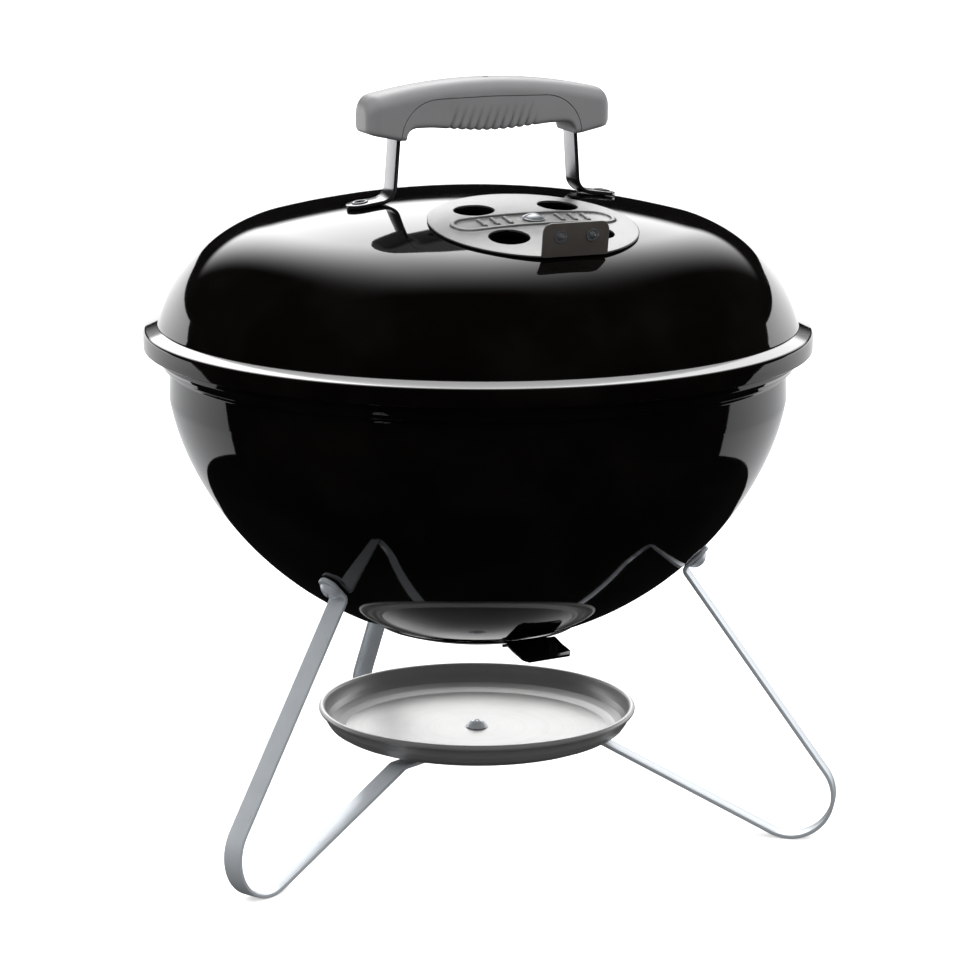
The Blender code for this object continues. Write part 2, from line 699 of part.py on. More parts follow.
def bracket_path():
    """The bracket's middle line: a turned-out foot, a strut, the arch inside the grip, and back down."""
    tip = foot_middle + foot_along * (FOOT_REACH - FOOT_BOLT_OFFSET)
    heel = foot_middle - foot_along * ((FOOT_BOLT_OFFSET - STRUT_OFFSET) / math.cos(foot_slope))
    right = [tuple(tip)] + fillet(tip, heel, (STRUT_OFFSET, GRIP_END_Z), 0.0085, 5)
    over = arch(STRUT_OFFSET, GRIP_END_Z, PARTING_Z, PARTING_BEND, PARTING_ARCH, 6)
    return [(-x, z) for x, z in right] + over[1:-1] + right[::-1]


bracket = put(
    "handle_bracket",
    strip_mesh("handle_bracket", bracket_path(), STRIP_THICKNESS, STRIP_WIDTH),
    plated,
    lid_axis,
    stand_side,
)
# The room that the bracket takes inside the grip
bracket_room = cutter(
    "bracket_room",
    strip_mesh("bracket_room", bracket_path(), STRIP_THICKNESS + 2 * GAP, STRIP_WIDTH + 2 * GAP),
    lid_axis,
    stand_side,
)


def foot_place(side):
    """On the foot's upper face over its rivet, Z along the rivet."""
    return (
        Matrix.Rotation(math.pi if side < 0 else 0, 4, "Z")
        @ Matrix.Translation((foot_middle.x, 0, foot_middle.y))
        @ Matrix.Rotation(foot_slope, 4, "Y")
        @ Matrix.Translation((0, 0, STRIP_THICKNESS / 2))
    )


foot_rivet_length = GAP + STRIP_THICKNESS + GAP + SHEET + 2 * GAP + WASHER_THICKNESS + GAP
for side, word in ((-1, "left"), (1, "right")):
    place = foot_place(side)
    hole = RIVET_SHANK_RADIUS + GAP
    drill(bracket, f"bracket_hole_{word}", hole, -0.02, 0.02, lid_axis, place)
    drill(lid, f"lid_bracket_hole_{word}", hole, -0.02, 0.02, lid_axis, place)
    rivet = domed_head(FOOT_RIVET_HEAD_RADIUS, RIVET_HEAD_HEIGHT, RIVET_SHANK_RADIUS, -foot_rivet_length)
    rivet = upset(rivet, UPSET_LIP, UPSET_HEIGHT)
    turned(f"bracket_rivet_{word}", rivet, plated, lid_axis, place @ Matrix.Translation((0, 0, GAP)), steps=12)
    inside_lid = -STRIP_THICKNESS - GAP - SHEET - 2 * GAP - WASHER_THICKNESS
    washer(
        f"bracket_washer_{word}",
        hole,
        FOOT_WASHER_RADIUS,
        WASHER_THICKNESS,
        plated,
        lid_axis,
        place @ Matrix.Translation((0, 0, inside_lid)),
    )


# Grip: a cap over an insert, parted along an arch; the bracket lies along the parting, in a groove in both

cap_top = arch(GRIP_HALF_LENGTH, GRIP_END_Z + GRIP_END_LIFT, GRIP_TOP_Z, 0.0095, GRIP_ARCH, 8)
parting = arch(STRUT_OFFSET, GRIP_END_Z, PARTING_Z, PARTING_BEND, PARTING_ARCH, 6)
cap_mesh = soften(plate_mesh("handle_cap", cap_top + parting[::-1], GRIP_WIDTH), cap_top, GRIP_ROUNDING, 3)
cap = put("handle_cap", cap_mesh, grip_plastic, lid_axis, stand_side)
boolean(cap, bracket_room)

insert_over = arch(STRUT_OFFSET - GAP, GRIP_END_Z, PARTING_Z - GAP, PARTING_BEND, PARTING_ARCH, 6)
insert_under = arch(STRUT_OFFSET - INSERT_LEG, GRIP_END_Z, INSERT_UNDER_Z, 0.0045, 0.0008, 4)
insert_mesh = plate_mesh("handle_insert", insert_over + insert_under[::-1], GRIP_WIDTH - 0.001)
soften(insert_mesh, insert_under[1:-1], INSERT_ROUNDING, 2)
insert = put("handle_insert", insert_mesh, grip_plastic, lid_axis, stand_side)
boolean(insert, bracket_room)

screw_head_z = PARTING_Z - 0.0085
for side, word in ((-1, "left"), (1, "right")):
    place = Matrix.Translation((side * GRIP_SCREW_OFFSET, 0, screw_head_z)) @ Matrix.Rotation(math.pi, 4, "X")
    shank_top = GRIP_TOP_Z - 0.0040 - screw_head_z
    screw = domed_head(GRIP_SCREW_HEAD_RADIUS, 0.6 * GRIP_SCREW_HEAD_RADIUS, GRIP_SCREW_RADIUS, -shank_top)
    turned(f"grip_screw_{word}", screw, plated, lid_axis, place, steps=12)
    hole = GRIP_SCREW_RADIUS + GAP
    drill(cap, f"cap_screw_hole_{word}", hole, -shank_top - GAP, 0, lid_axis, place, sides=10)
    drill(bracket, f"bracket_screw_hole_{word}", hole, -shank_top - GAP, 0, lid_axis, place, sides=10)
    drill(insert, f"insert_screw_hole_{word}", hole, -shank_top - GAP, 0.01, lid_axis, place, sides=10)
    sunk = GRIP_SCREW_HEAD_RADIUS + GAP
    drill(insert, f"insert_counterbore_{word}", sunk, -GAP, 0.02, lid_axis, place, sides=10)


# Legs


leg_angle = math.asin(LEG_BOLT_BOWL_RADIUS / BOWL_RADIUS)
leg_slope = bowl_slope(LEG_BOLT_BOWL_RADIUS)
tab_along = Vector((math.cos(leg_slope), math.sin(leg_slope)))
tab_out = Vector((math.sin(leg_slope), -math.cos(leg_slope)))
tab_seat = Vector(bowl_point(leg_angle)) + tab_out * (STRIP_THICKNESS / 2 + 2 * GAP)
stack_pitch = STRIP_THICKNESS + GAP
pan_under_z = PAN_RIM_Z - PAN_DEPTH


def leg_path(level):
    """A leg's middle line, from its tab on the bowl round its foot to its end in the stack under the pan."""
    end_z = pan_under_z - GAP - STRIP_THICKNESS / 2 - level * stack_pitch
    start = tab_seat + tab_along * LEG_TAB_HALF_LENGTH
    bend = tab_seat - tab_along * LEG_TAB_HALF_LENGTH
    radius = LEG_FOOT_RADIUS - STRIP_THICKNESS / 2
    centre = (LEG_FOOT_CENTRE, STRIP_THICKNESS / 2 + radius * math.cos(FOOT_FLAT))
    inner = (LEG_INNER_BEND, end_z)
    first = tangent_angle(bend, centre, radius, -1)
    last = tangent_angle(inner, centre, radius, 1) - 2 * math.pi
    down = math.radians(-90)
    foot = arc(centre, radius, first, down + FOOT_FLAT, 7) + arc(centre, radius, down - FOOT_FLAT, last, 2)
    top = fillet(start, bend, foot[0], LEG_TOP_BEND_RADIUS, 5)
    under = fillet(foot[-1], inner, (0, end_z), 0.008, 3)
    return [tuple(start)] + top + foot + under + [(-LEG_END, end_z)]


for level, (word, azimuth) in enumerate(LEG_AZIMUTHS.items()):
    leg_place = Matrix.Rotation(azimuth, 4, "Z")
    leg = put(
        f"leg_{word}",
        strip_mesh(f"leg_{word}", leg_path(level), STRIP_THICKNESS, LEG_WIDTH),
        plated,
        kettle,
        leg_place @ stand_side,
    )
    outward = (
        leg_place
        @ Matrix.Translation((tab_seat.x, 0, tab_seat.y))
        @ Matrix.Rotation(math.pi - leg_slope, 4, "Y")
        @ Matrix.Translation((0, 0, STRIP_THICKNESS / 2))
    )
    hole = LEG_BOLT_RADIUS + GAP
    drill(leg, f"leg_bolt_hole_{word}", hole, -0.01, 0.01, kettle, outward, sides=10)
    drill(leg, f"leg_end_hole_{word}", hole, 0.0, 0.08, kettle, Matrix.Identity(4), sides=10)
    drill(bowl, f"bowl_bolt_hole_{word}", hole, -0.02, 0.01, kettle, outward, sides=10)
    reach = STRIP_THICKNESS + SHEET + 4 * GAP + NUT_HEIGHT + BOLT_END
    bolt = domed_head(LEG_BOLT_HEAD_RADIUS, BOLT_HEAD_HEIGHT, LEG_BOLT_RADIUS, -reach)
    turned(f"leg_bolt_{word}", bolt, plated, kettle, outward @ Matrix.Translation((0, 0, GAP)), steps=10)
    nut_seat = outward @ Matrix.Translation((0, 0, -STRIP_THICKNESS - 5 * GAP - SHEET - NUT_HEIGHT))
    nut(f"leg_nut_{word}", NUT_ACROSS, NUT_HEIGHT, hole, plated, kettle, nut_seat)


# Ash pan

pan_bead_z = PAN_RIM_Z - PAN_BEAD_RADIUS
pan_bead = arc(
    (PAN_RADIUS - PAN_BEAD_RADIUS, pan_bead_z), PAN_BEAD_RADIUS, math.radians(150), math.radians(-80), 5
)
pan_floor_z = pan_under_z + SHEET
pan_under = [
    (PAN_RADIUS - 0.0026, pan_bead_z - 0.0024),
    (PAN_RADIUS - 0.0044, pan_under_z + 0.48 * PAN_DEPTH),
    (PAN_RADIUS - 0.0072, pan_under_z + 0.22 * PAN_DEPTH),
    (PAN_FLOOR_RADIUS + 0.0030, pan_under_z + 0.05 * PAN_DEPTH),
    (PAN_FLOOR_RADIUS, pan_under_z),
    (0, pan_under_z),
]
pan_inside = offset(pan_under, -SHEET)
pan_inside[-1] = (0, pan_floor_z)
pan_profile = pan_bead + pan_under + pan_inside[::-1]
pan = turned("ash_pan", pan_profile, aluminium, kettle, steps=TURN_STEPS)
pan_bolt_place = Matrix.Translation((0, 0, pan_floor_z + GAP))
drill(pan, "pan_bolt_hole", LEG_BOLT_RADIUS + GAP, 0.0, 0.1, kettle, Matrix.Identity(4), sides=10)
pan_bolt_reach = GAP + SHEET + GAP + 3 * stack_pitch + NUT_HEIGHT + BOLT_END
pan_bolt = domed_head(LEG_BOLT_HEAD_RADIUS, BOLT_HEAD_HEIGHT, LEG_BOLT_RADIUS, -pan_bolt_reach)
turned("ash_pan_bolt", pan_bolt, plated, kettle, pan_bolt_place, steps=12)
pan_nut_place = Matrix.Translation((0, 0, pan_under_z - 3 * stack_pitch - GAP - NUT_HEIGHT))
nut("ash_pan_nut", NUT_ACROSS, NUT_HEIGHT, LEG_BOLT_RADIUS + GAP, plated, kettle, pan_nut_place)


# Grates


def wire_grate(name, radius, wire, rods, parent, height):
    """A ring of wire with parallel rods on it and two cross rods under them, welded into one."""
    ring = bpy.data.meshes.new(name)
    shape = bmesh.new()
    stand = Matrix.Rotation(math.pi / 2, 4, "X")
    circle = bmesh.ops.create_circle(shape, segments=6, radius=wire, matrix=stand)
    bmesh.ops.translate(shape, verts=circle["verts"], vec=(radius, 0, 0))
    shape.to_mesh(ring)
    shape.free()
    grate = put(name, ring, grate_steel, parent, Matrix.Translation((0, 0, height)))
    screw = grate.modifiers.new("turn", "SCREW")
    screw.steps = TURN_STEPS
    screw.render_steps = TURN_STEPS
    screw.use_merge_vertices = True
    screw.merge_threshold = 0.00001
    screw.use_smooth_shade = True
    rod_z = wire + ROD_RADIUS - ROD_SINK
    cross_z = rod_z - 2 * ROD_RADIUS + ROD_SINK

    def add_rod(word, across, level, turn):
        half = math.sqrt(radius**2 - across**2)
        mesh = rod_mesh(f"{name}_{word}", ROD_RADIUS, -half, half, 6)
        lie = Matrix.Rotation(turn, 4, "Z") @ Matrix.Translation((0, across, level))
        place = Matrix.Translation((0, 0, height)) @ lie @ Matrix.Rotation(math.pi / 2, 4, "Y")
        boolean(grate, cutter(mesh.name, mesh, parent, place), "UNION")

    for side in (-1, 1):
        add_rod(f"cross_{side}", side * radius * 0.42, cross_z, math.pi / 2)
    for index in range(rods):
        across = radius * (2 * (index + 1) / (rods + 1) - 1)
        add_rod(f"rod_{index}", across, rod_z, 0)
    return grate


cooking_axis = empty("cooking_grate_axis", kettle, Matrix.Identity(4))
charcoal_axis = empty("charcoal_grate_axis", kettle, Matrix.Identity(4))
cooking_z = rest_height(COOKING_GRATE_RADIUS, COOKING_WIRE_RADIUS + GAP)
charcoal_z = rest_height(CHARCOAL_GRATE_RADIUS, CHARCOAL_WIRE_RADIUS + GAP)
wire_grate(
    "cooking_grate", COOKING_GRATE_RADIUS, COOKING_WIRE_RADIUS, COOKING_ROD_COUNT, cooking_axis, cooking_z
)
wire_grate(
    "charcoal_grate", CHARCOAL_GRATE_RADIUS, CHARCOAL_WIRE_RADIUS, CHARCOAL_ROD_COUNT, charcoal_axis, charcoal_z
)

bpy.context.view_layer.update()
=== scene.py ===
import math

import bmesh
import bpy
from mathutils import Matrix, Vector


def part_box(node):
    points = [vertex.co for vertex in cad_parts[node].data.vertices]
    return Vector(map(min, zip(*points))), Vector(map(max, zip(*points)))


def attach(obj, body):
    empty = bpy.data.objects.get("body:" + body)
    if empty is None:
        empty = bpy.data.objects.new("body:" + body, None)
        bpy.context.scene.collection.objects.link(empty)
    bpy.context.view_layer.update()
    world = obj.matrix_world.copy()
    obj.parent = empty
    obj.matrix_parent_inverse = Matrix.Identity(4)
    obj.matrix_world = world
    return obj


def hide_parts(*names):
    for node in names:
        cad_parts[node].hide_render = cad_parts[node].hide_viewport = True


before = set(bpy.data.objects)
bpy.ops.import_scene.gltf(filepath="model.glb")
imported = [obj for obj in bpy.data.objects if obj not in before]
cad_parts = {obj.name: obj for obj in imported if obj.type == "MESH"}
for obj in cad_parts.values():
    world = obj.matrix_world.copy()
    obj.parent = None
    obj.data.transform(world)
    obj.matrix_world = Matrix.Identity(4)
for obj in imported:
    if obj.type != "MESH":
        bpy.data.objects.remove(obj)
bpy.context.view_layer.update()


# Camera: a long lens some two metres off, in front of the grill and to its left, looking a little down.
# It is placed from the kettle's upright axis, which the lid's own box gives.
lid_low, lid_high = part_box("lid")
kettle = Matrix.Translation(((lid_low.x + lid_high.x) / 2, (lid_low.y + lid_high.y) / 2, 0))
CAMERA_AZIMUTH = math.radians(-20.7)
CAMERA_PITCH = math.radians(12.494)
CAMERA_ROLL = math.radians(0.2417)
CAMERA_SPOT = Vector((0.0069, -2.1780, 0.67466))
facing = kettle @ Matrix.Rotation(CAMERA_AZIMUTH, 4, "Z")
camera = bpy.data.objects.new("camera", bpy.data.cameras.new("camera"))
bpy.context.scene.collection.objects.link(camera)
camera.matrix_world = (
    facing
    @ Matrix.Translation(CAMERA_SPOT)
    @ Matrix.Rotation(math.pi / 2 - CAMERA_PITCH, 4, "X")
    @ Matrix.Rotation(CAMERA_ROLL, 4, "Z")
)
camera.data.sensor_width = 36
camera.data.lens = 146.7
bpy.context.scene.camera = camera


# Lid: a pressed steel dome with a sloping ledge and a short skirt, finished in black porcelain enamel.
# It stands on the bowl's rim and turns a little out of line with the legs. Four holes let the smoke out.
SHEET = 0.0012
CROWN_TOP = 0.3600
CROWN_RADIUS = 0.495
SHOULDER_RADIUS = 0.0775
DOME_RADIUS = 0.1765
DOME_BASE = 0.2880
SKIRT_RADIUS = 0.185
SKIRT_DROP = 0.0090
LEDGE_SLOPE = math.radians(20)
LID_TURN = math.radians(2.3)
VENT_RADIUS = 0.0105
VENT_PITCH = 0.0345
VENT_OFFSET = 0.0755
PIVOT_RADIUS = 0.0033


def arc(centre, radius, start, end, steps):
    """Points on a circle from one angle to another."""
    turns = [start + (end - start) * step / steps for step in range(steps + 1)]
    return [(centre[0] + radius * math.cos(turn), centre[1] + radius * math.sin(turn)) for turn in turns]


def bend(corners, steps=6):
    """A line through corners of (x, y), each rounded where it has a third number, its radius."""
    line = [tuple(corners[0][:2])]
    for before, corner, after in zip(corners, corners[1:], corners[2:]):
        if len(corner) < 3:
            line.append(tuple(corner))
            continue
        here = Vector(corner[:2])
        back = (Vector(line[-1]) - here).normalized()
        on = (Vector(after[:2]) - here).normalized()
        half = back.angle(on) / 2
        centre = here + (back + on).normalized() * (corner[2] / math.sin(half))
        start = here + back * (corner[2] / math.tan(half)) - centre
        end = here + on * (corner[2] / math.tan(half)) - centre
        first = math.atan2(start.y, start.x)
        turn = (math.atan2(end.y, end.x) - first + math.pi) % (2 * math.pi) - math.pi
        line += arc(centre, corner[2], first, first + turn, steps)
    return line + [tuple(corners[-1][:2])]


def offset(line, distance):
    """The line moved to its left by a distance."""
    moved = []
    for index, point in enumerate(line):
        here = Vector(point)
        before = here - Vector(line[index - 1]) if index else Vector(line[1]) - here
        after = Vector(line[index + 1]) - here if index < len(line) - 1 else before
        first, second = before.normalized(), after.normalized()
        normal = Vector((-first.y - second.y, first.x + second.x)).normalized()
        moved.append(tuple(here + normal * (distance / normal.dot(Vector((-first.y, first.x))))))
    return moved


def smooth(mesh, degrees=32):
    mesh.shade_smooth()
    mesh.set_sharp_from_angle(angle=math.radians(degrees))
    return mesh


def finished(shape, degrees=32):
    """A shape that was built up in bmesh, as a smooth mesh."""
    mesh = bpy.data.meshes.new("mesh")
    shape.to_mesh(mesh)
    shape.free()
    return smooth(mesh, degrees)


def spin(outline, steps=144):
    """A mesh turned round Z from an outline of (radius, height), down its outside and back up inside."""
    shape = bmesh.new()
    rings = []
    for radius, height in outline:
        if radius < 1e-6:
            rings.append([shape.verts.new((0, 0, height))])
        else:
            turns = [2 * math.pi * step / steps for step in range(steps)]
            rings.append([shape.verts.new((radius * math.cos(a), radius * math.sin(a), height)) for a in turns])
    around = rings[1:] if len(rings[0]) == 1 and len(rings[-1]) == 1 else rings[1:] + rings[:1]
    for upper, lower in zip(rings, around):
        for step in range(steps):
            on = (step + 1) % steps
            corners = [upper[step % len(upper)], upper[on % len(upper)]]
            corners = list(dict.fromkeys(corners + [lower[on % len(lower)], lower[step % len(lower)]]))
            if len(corners) > 2:
                shape.faces.new(corners)
    bmesh.ops.recalc_face_normals(shape, faces=shape.faces)
    return finished(shape)


def fit(name, mesh, place, material, body, slot, *nodes):
    """Puts a finished piece in its place, on its body, for the solids that it stands for."""
    piece = bpy.data.objects.new(name, mesh)
    bpy.context.scene.collection.objects.link(piece)
    piece.matrix_world = place
    mesh.materials.clear()
    mesh.materials.append(material)
    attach(piece, body)
    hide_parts(*nodes)
    return piece


def cut(mesh, *tools, operation="DIFFERENCE"):
    """The mesh with other meshes, each given with its place, taken out of it or kept in common with it."""
    blank = bpy.data.objects.new("blank", mesh)
    bpy.context.scene.collection.objects.link(blank)
    helpers = []
    for tool, place in tools:
        helper = bpy.data.objects.new("tool", tool)
        bpy.context.scene.collection.objects.link(helper)
        helper.matrix_world = place
        modifier = blank.modifiers.new("cut", "BOOLEAN")
        modifier.operation = operation
        modifier.solver = "EXACT"
        modifier.object = helper
        helpers.append(helper)
    bpy.context.view_layer.update()
    made = bpy.data.meshes.new_from_object(blank.evaluated_get(bpy.context.evaluated_depsgraph_get()))
    for used in [blank, *helpers]:
        bpy.data.objects.remove(used)
    return smooth(made)


unmoved = Matrix.Identity(4)


def join(*shapes):
    """Several meshes, each given with its place, as one."""
    whole = bmesh.new()
    for mesh, place in shapes:
        moved = mesh.copy()
        moved.transform(place)
        whole.from_mesh(moved)
        bpy.data.meshes.remove(moved)
    return finished(whole)


class Wire:
    """A socket that sums can be written with: each + - * adds a Math node."""

    def __init__(self, recipe, socket):
        self.recipe = recipe
        self.socket = socket

    def sum(self, operation, first, second):
        return self.recipe.node("ShaderNodeMath", {"operation": operation}, {0: first, 1: second})

    def __add__(self, other):
        return self.sum("ADD", self, other)

    def __sub__(self, other):
        return self.sum("SUBTRACT", self, other)

    def __rsub__(self, other):
        return self.sum("SUBTRACT", other, self)

    def __mul__(self, other):
        return self.sum("MULTIPLY", self, other)

    __radd__ = __add__
    __rmul__ = __mul__


class Recipe:
    """The nodes of one finish. Its shader takes the constants; what varies over the surface is fed in after."""

    def __init__(self, name, constants):
        self.material = bpy.data.materials.new(name)
        self.material.use_nodes = True
        self.tree = self.material.node_tree
        self.shader = self.tree.nodes["Principled BSDF"]
        self.feed(self.shader, constants)

    def feed(self, node, sockets):
        for key, value in sockets.items():
            if isinstance(value, Wire):
                self.tree.links.new(value.socket, node.inputs[key])
            else:
                node.inputs[key].default_value = value

    def node(self, kind, settings, sockets, output=0):
        made = self.tree.nodes.new(kind)
        for key, value in settings.items():
            setattr(made, key, value)
        self.feed(made, sockets)
        return Wire(self, made.outputs[output])

    def place(self):
        return self.node("ShaderNodeTexCoord", {}, {}, "Object")

    def stretch(self, factors):
        return self.node("ShaderNodeVectorMath", {"operation": "MULTIPLY"}, {0: self.place(), 1: factors})

    def noise(self, vector, scale, detail=3.0):
        return self.node("ShaderNodeTexNoise", {}, {"Vector": vector, "Scale": scale, "Detail": detail})

    def fade(self, value, low, high, start=0.0, end=1.0):
        """From start to end as the value goes from low to high."""
        sockets = {"Value": value, "From Min": low, "From Max": high, "To Min": start, "To Max": end}
        return self.node("ShaderNodeMapRange", {"interpolation_type": "SMOOTHSTEP"}, sockets)

    def blend(self, mask, first, second):
        return self.node("ShaderNodeMix", {"data_type": "RGBA"}, {0: mask, 6: first, 7: second}, 2)

    def bump(self, height, depth):
        return self.node("ShaderNodeBump", {}, {"Height": height, "Distance": depth, "Strength": 1.0})

    def surface(self, mask, first, second, roughness, height, depth):
        """A colour between two by a mask, with a roughness and a fine relief."""
        colour, normal = self.blend(mask, (*first, 1), (*second, 1)), self.bump(height, depth)
        self.feed(self.shader, {"Base Color": colour, "Roughness": roughness, "Normal": normal})


lid_place = kettle @ Matrix.Rotation(LID_TURN, 4, "Z")
forward = lid_place.to_3x3().inverted() @ facing.to_3x3() @ Vector((0, -1, 0))

# Black porcelain enamel, fused on: a deep gloss with the faint waviness of fired glass and a film of dust.
# Along the front of the lid's ledge, on the side toward the camera, the finish is made paler and part metal.
# This is a painted highlight that carries the line of light there.
LEDGE_PAINTED_HIGHLIGHT = 0.45
LEDGE_PAINTED_HIGHLIGHT_FROM = 0.28


def black_enamel(name, painted_ledge_highlight):
    """The enamel, with or without the painted highlight along the front of the lid's ledge."""
    finish = Recipe(name, {"IOR": 1.52})
    waves = finish.noise(finish.place(), 35, 1.0)
    pits = finish.noise(finish.place(), 900, 2.0)
    film = finish.fade(finish.noise(finish.place(), 22, 4.0), 0.42, 0.72)
    colour = finish.blend(film, (0.0010, 0.0008, 0.0006, 1), (0.0022, 0.0020, 0.0017, 1))
    sockets = {
        "Roughness": 0.035 + film * 0.02 + pits * 0.015,
        "Normal": finish.bump(waves + pits * 0.10, 0.00004),
    }
    if painted_ledge_highlight:
        flat = finish.stretch((1.0, 1.0, 0.0))
        reach = finish.node("ShaderNodeVectorMath", {"operation": "LENGTH"}, {0: flat}, "Value")
        height = finish.node("ShaderNodeSeparateXYZ", {}, {0: finish.place()}, 2)
        inner = finish.fade(reach, DOME_RADIUS + 0.0004, DOME_RADIUS + 0.0009)
        outer = finish.fade(reach, SKIRT_RADIUS - 0.0018, SKIRT_RADIUS - 0.0012, 1.0, 0.0)
        upper = finish.fade(height, LEDGE_PAINTED_HIGHLIGHT_FROM, LEDGE_PAINTED_HIGHLIGHT_FROM + 0.003)
        toward = {0: flat, 1: forward}
        front = finish.node("ShaderNodeVectorMath", {"operation": "DOT_PRODUCT"}, toward, "Value")
        # Painted highlight: a paler, part-metal band on the ledge, only where it faces the camera.
        painted_highlight = inner * outer * upper * finish.fade(front, 0.005, 0.050)
        colour = finish.blend(painted_highlight, colour, (0.42, 0.42, 0.42, 1))
        sockets["Metallic"] = painted_highlight * LEDGE_PAINTED_HIGHLIGHT
    finish.feed(finish.shader, {"Base Color": colour, **sockets})
    return finish.material


lid_enamel = black_enamel("black_enamel_lid", True)
enamel = black_enamel("black_enamel", False)


def crown_height(radius):
    return CROWN_TOP - CROWN_RADIUS + math.sqrt(CROWN_RADIUS**2 - radius**2)


crown_centre = CROWN_TOP - CROWN_RADIUS
dome_base = Vector((DOME_RADIUS, DOME_BASE - crown_centre))
between = CROWN_RADIUS - SHOULDER_RADIUS
spread = (dome_base.length_squared + between**2 - SHOULDER_RADIUS**2) / (2 * dome_base.length * between)
crown_end = math.atan2(dome_base.x, dome_base.y) - math.acos(spread)
shoulder = (between * math.sin(crown_end), crown_centre + between * math.cos(crown_end))
shoulder_end = math.atan2(DOME_BASE - shoulder[1], DOME_RADIUS - shoulder[0])
crown_line = arc((0, crown_centre), CROWN_RADIUS, math.pi / 2, math.pi / 2 - crown_end, 42)
shoulder_line = arc(shoulder, SHOULDER_RADIUS, math.pi / 2 - crown_end, shoulder_end, 26)
skirt_top = DOME_BASE - (SKIRT_RADIUS - DOME_RADIUS) * math.tan(LEDGE_SLOPE)
ledge_line = bend(
    [
        shoulder_line[-2],
        (DOME_RADIUS, DOME_BASE, 0.0013),
        (SKIRT_RADIUS, skirt_top, 0.0016),
        (SKIRT_RADIUS, skirt_top - SKIRT_DROP / 2),
        (SKIRT_RADIUS, skirt_top - SKIRT_DROP),
    ]
)
lid_outside = crown_line[:-1] + shoulder_line[:-2] + ledge_line
lid_inside = offset(lid_outside, -SHEET)
lid_inside[0] = (0, lid_inside[0][1])
lid_hem = arc((SKIRT_RADIUS - SHEET / 2, skirt_top - SKIRT_DROP), SHEET / 2, 0, -math.pi, 6)
lid_outline = lid_outside[:-1] + lid_hem + lid_inside[::-1][1:]
vent_tilt = math.asin(VENT_OFFSET / CROWN_RADIUS)
lid_vent = (
    Matrix.Rotation(-math.pi / 2, 4, "Z")
    @ Matrix.Translation((VENT_OFFSET, 0, crown_height(VENT_OFFSET)))
    @ Matrix.Rotation(vent_tilt, 4, "Y")
)


def drill(radius, low, high, rounding=0.0):
    """A plain pin that bores a hole along Z; rounding widens it a little at its middle height."""
    return spin([(0, high), (radius, high), (radius + rounding, 0), (radius, low), (0, low)], 48)


def vent_tools(radius, place):
    """The four vents' and the pivot's drills, midway between the tab's direction and the next."""
    turns = [Matrix.Rotation(math.pi / 2 * (index + 0.5), 4, "Z") for index in range(4)]
    out = Matrix.Translation((VENT_PITCH, 0, 0))
    vents = [(drill(radius, -0.02, 0.02), place @ turn @ out) for turn in turns]
    return vents + [(drill(PIVOT_RADIUS, -0.01, 0.01), place)]


lid_mesh = cut(spin(lid_outline, 192), *vent_tools(VENT_RADIUS, lid_vent))
fit("lid_dome", lid_mesh, lid_place, lid_enamel, "lid", "black_enamel", "lid")


# Damper on the lid: a thin aluminium disc, dished to the lid's curve, brushed, with a plain raised band
# pressed across it. It turns on the rivet; at the front its edge is cut straight and bent up into a lug.
DISC_RADIUS = 0.0568
DISC_SHEET = 0.0010
DISC_LIFT = 0.0005
DISC_HOLE_RADIUS = 0.0112
LUG_WIDTH = 0.036
LUG_HEIGHT = 0.0145
BAND_LENGTH = 0.046
BAND_WIDTH = 0.0095
BEAD_HEIGHT = 0.0010
BEAD_HALF_WIDTH = 0.0015
BAR_PITCH = 0.0075
BAR_HALF_LENGTH = 0.0046

# Brushed aluminium: fine streaks along one direction over a slightly uneven satin
brushed = Recipe("brushed_aluminium", {"Metallic": 0.94})
streaks = brushed.noise(brushed.stretch((1.0, 26.0, 1.0)), 160, 4.0)
mottle = brushed.noise(brushed.place(), 90, 3.0)
brushed.surface(
    mottle, (0.22, 0.22, 0.218), (0.30, 0.30, 0.297),
    0.24 + streaks * 0.14 + mottle * 0.10, streaks + mottle * 0.3, 0.00007,
)


def crown_sag(radius):
    return CROWN_RADIUS - math.sqrt(CROWN_RADIUS**2 - radius**2)


def disc_outline(sag, rings):
    """A thin dished disc with a rounded edge, its underside just clear of the shell."""
    radii = [(DISC_RADIUS - DISC_SHEET / 2) * ring / rings for ring in range(rings + 1)]
    top = [(radius, DISC_LIFT + DISC_SHEET - sag(radius)) for radius in radii]
    edge_z = DISC_LIFT + DISC_SHEET / 2 - sag(DISC_RADIUS)
    edge = arc((radii[-1], edge_z), DISC_SHEET / 2, math.radians(60), math.radians(-60), 4)
    under = [(radius, DISC_LIFT - sag(radius)) for radius in radii[:: rings // 6]]
    return top + edge + under[::-1]


def bead_rise(distance):
    """The height of a rounded bead at a distance from its middle line."""
    share = max(0.0, 1 - (distance / BEAD_HALF_WIDTH) ** 2)
    return BEAD_HEIGHT * share * (2 - share)


def press_band(mesh):
    """Raises a plain oval bead with a row of short bars in it, across the direction of the disc's tab."""
    for vertex in mesh.vertices:
        across, along = abs(vertex.co.x), abs(vertex.co.y)
        oval = abs(math.hypot(across, max(0.0, along - BAND_LENGTH + BAND_WIDTH)) - BAND_WIDTH)
        bar = max(2, min(4, round(along / BAR_PITCH))) * BAR_PITCH
        short = math.hypot(along - bar, max(0.0, across - BAR_HALF_LENGTH))
        vertex.co.z += max(bead_rise(oval), bead_rise(short))


def rounded_box(size, rounding, segments=3):
    """A box about the origin with rounded edges."""
    shape = bmesh.new()
    bmesh.ops.create_cube(shape, size=1, matrix=Matrix.Diagonal((*size, 1)))
    bmesh.ops.bevel(shape, geom=shape.edges[:], offset=rounding, segments=segments, profile=0.5, affect="EDGES")
    return finished(shape)


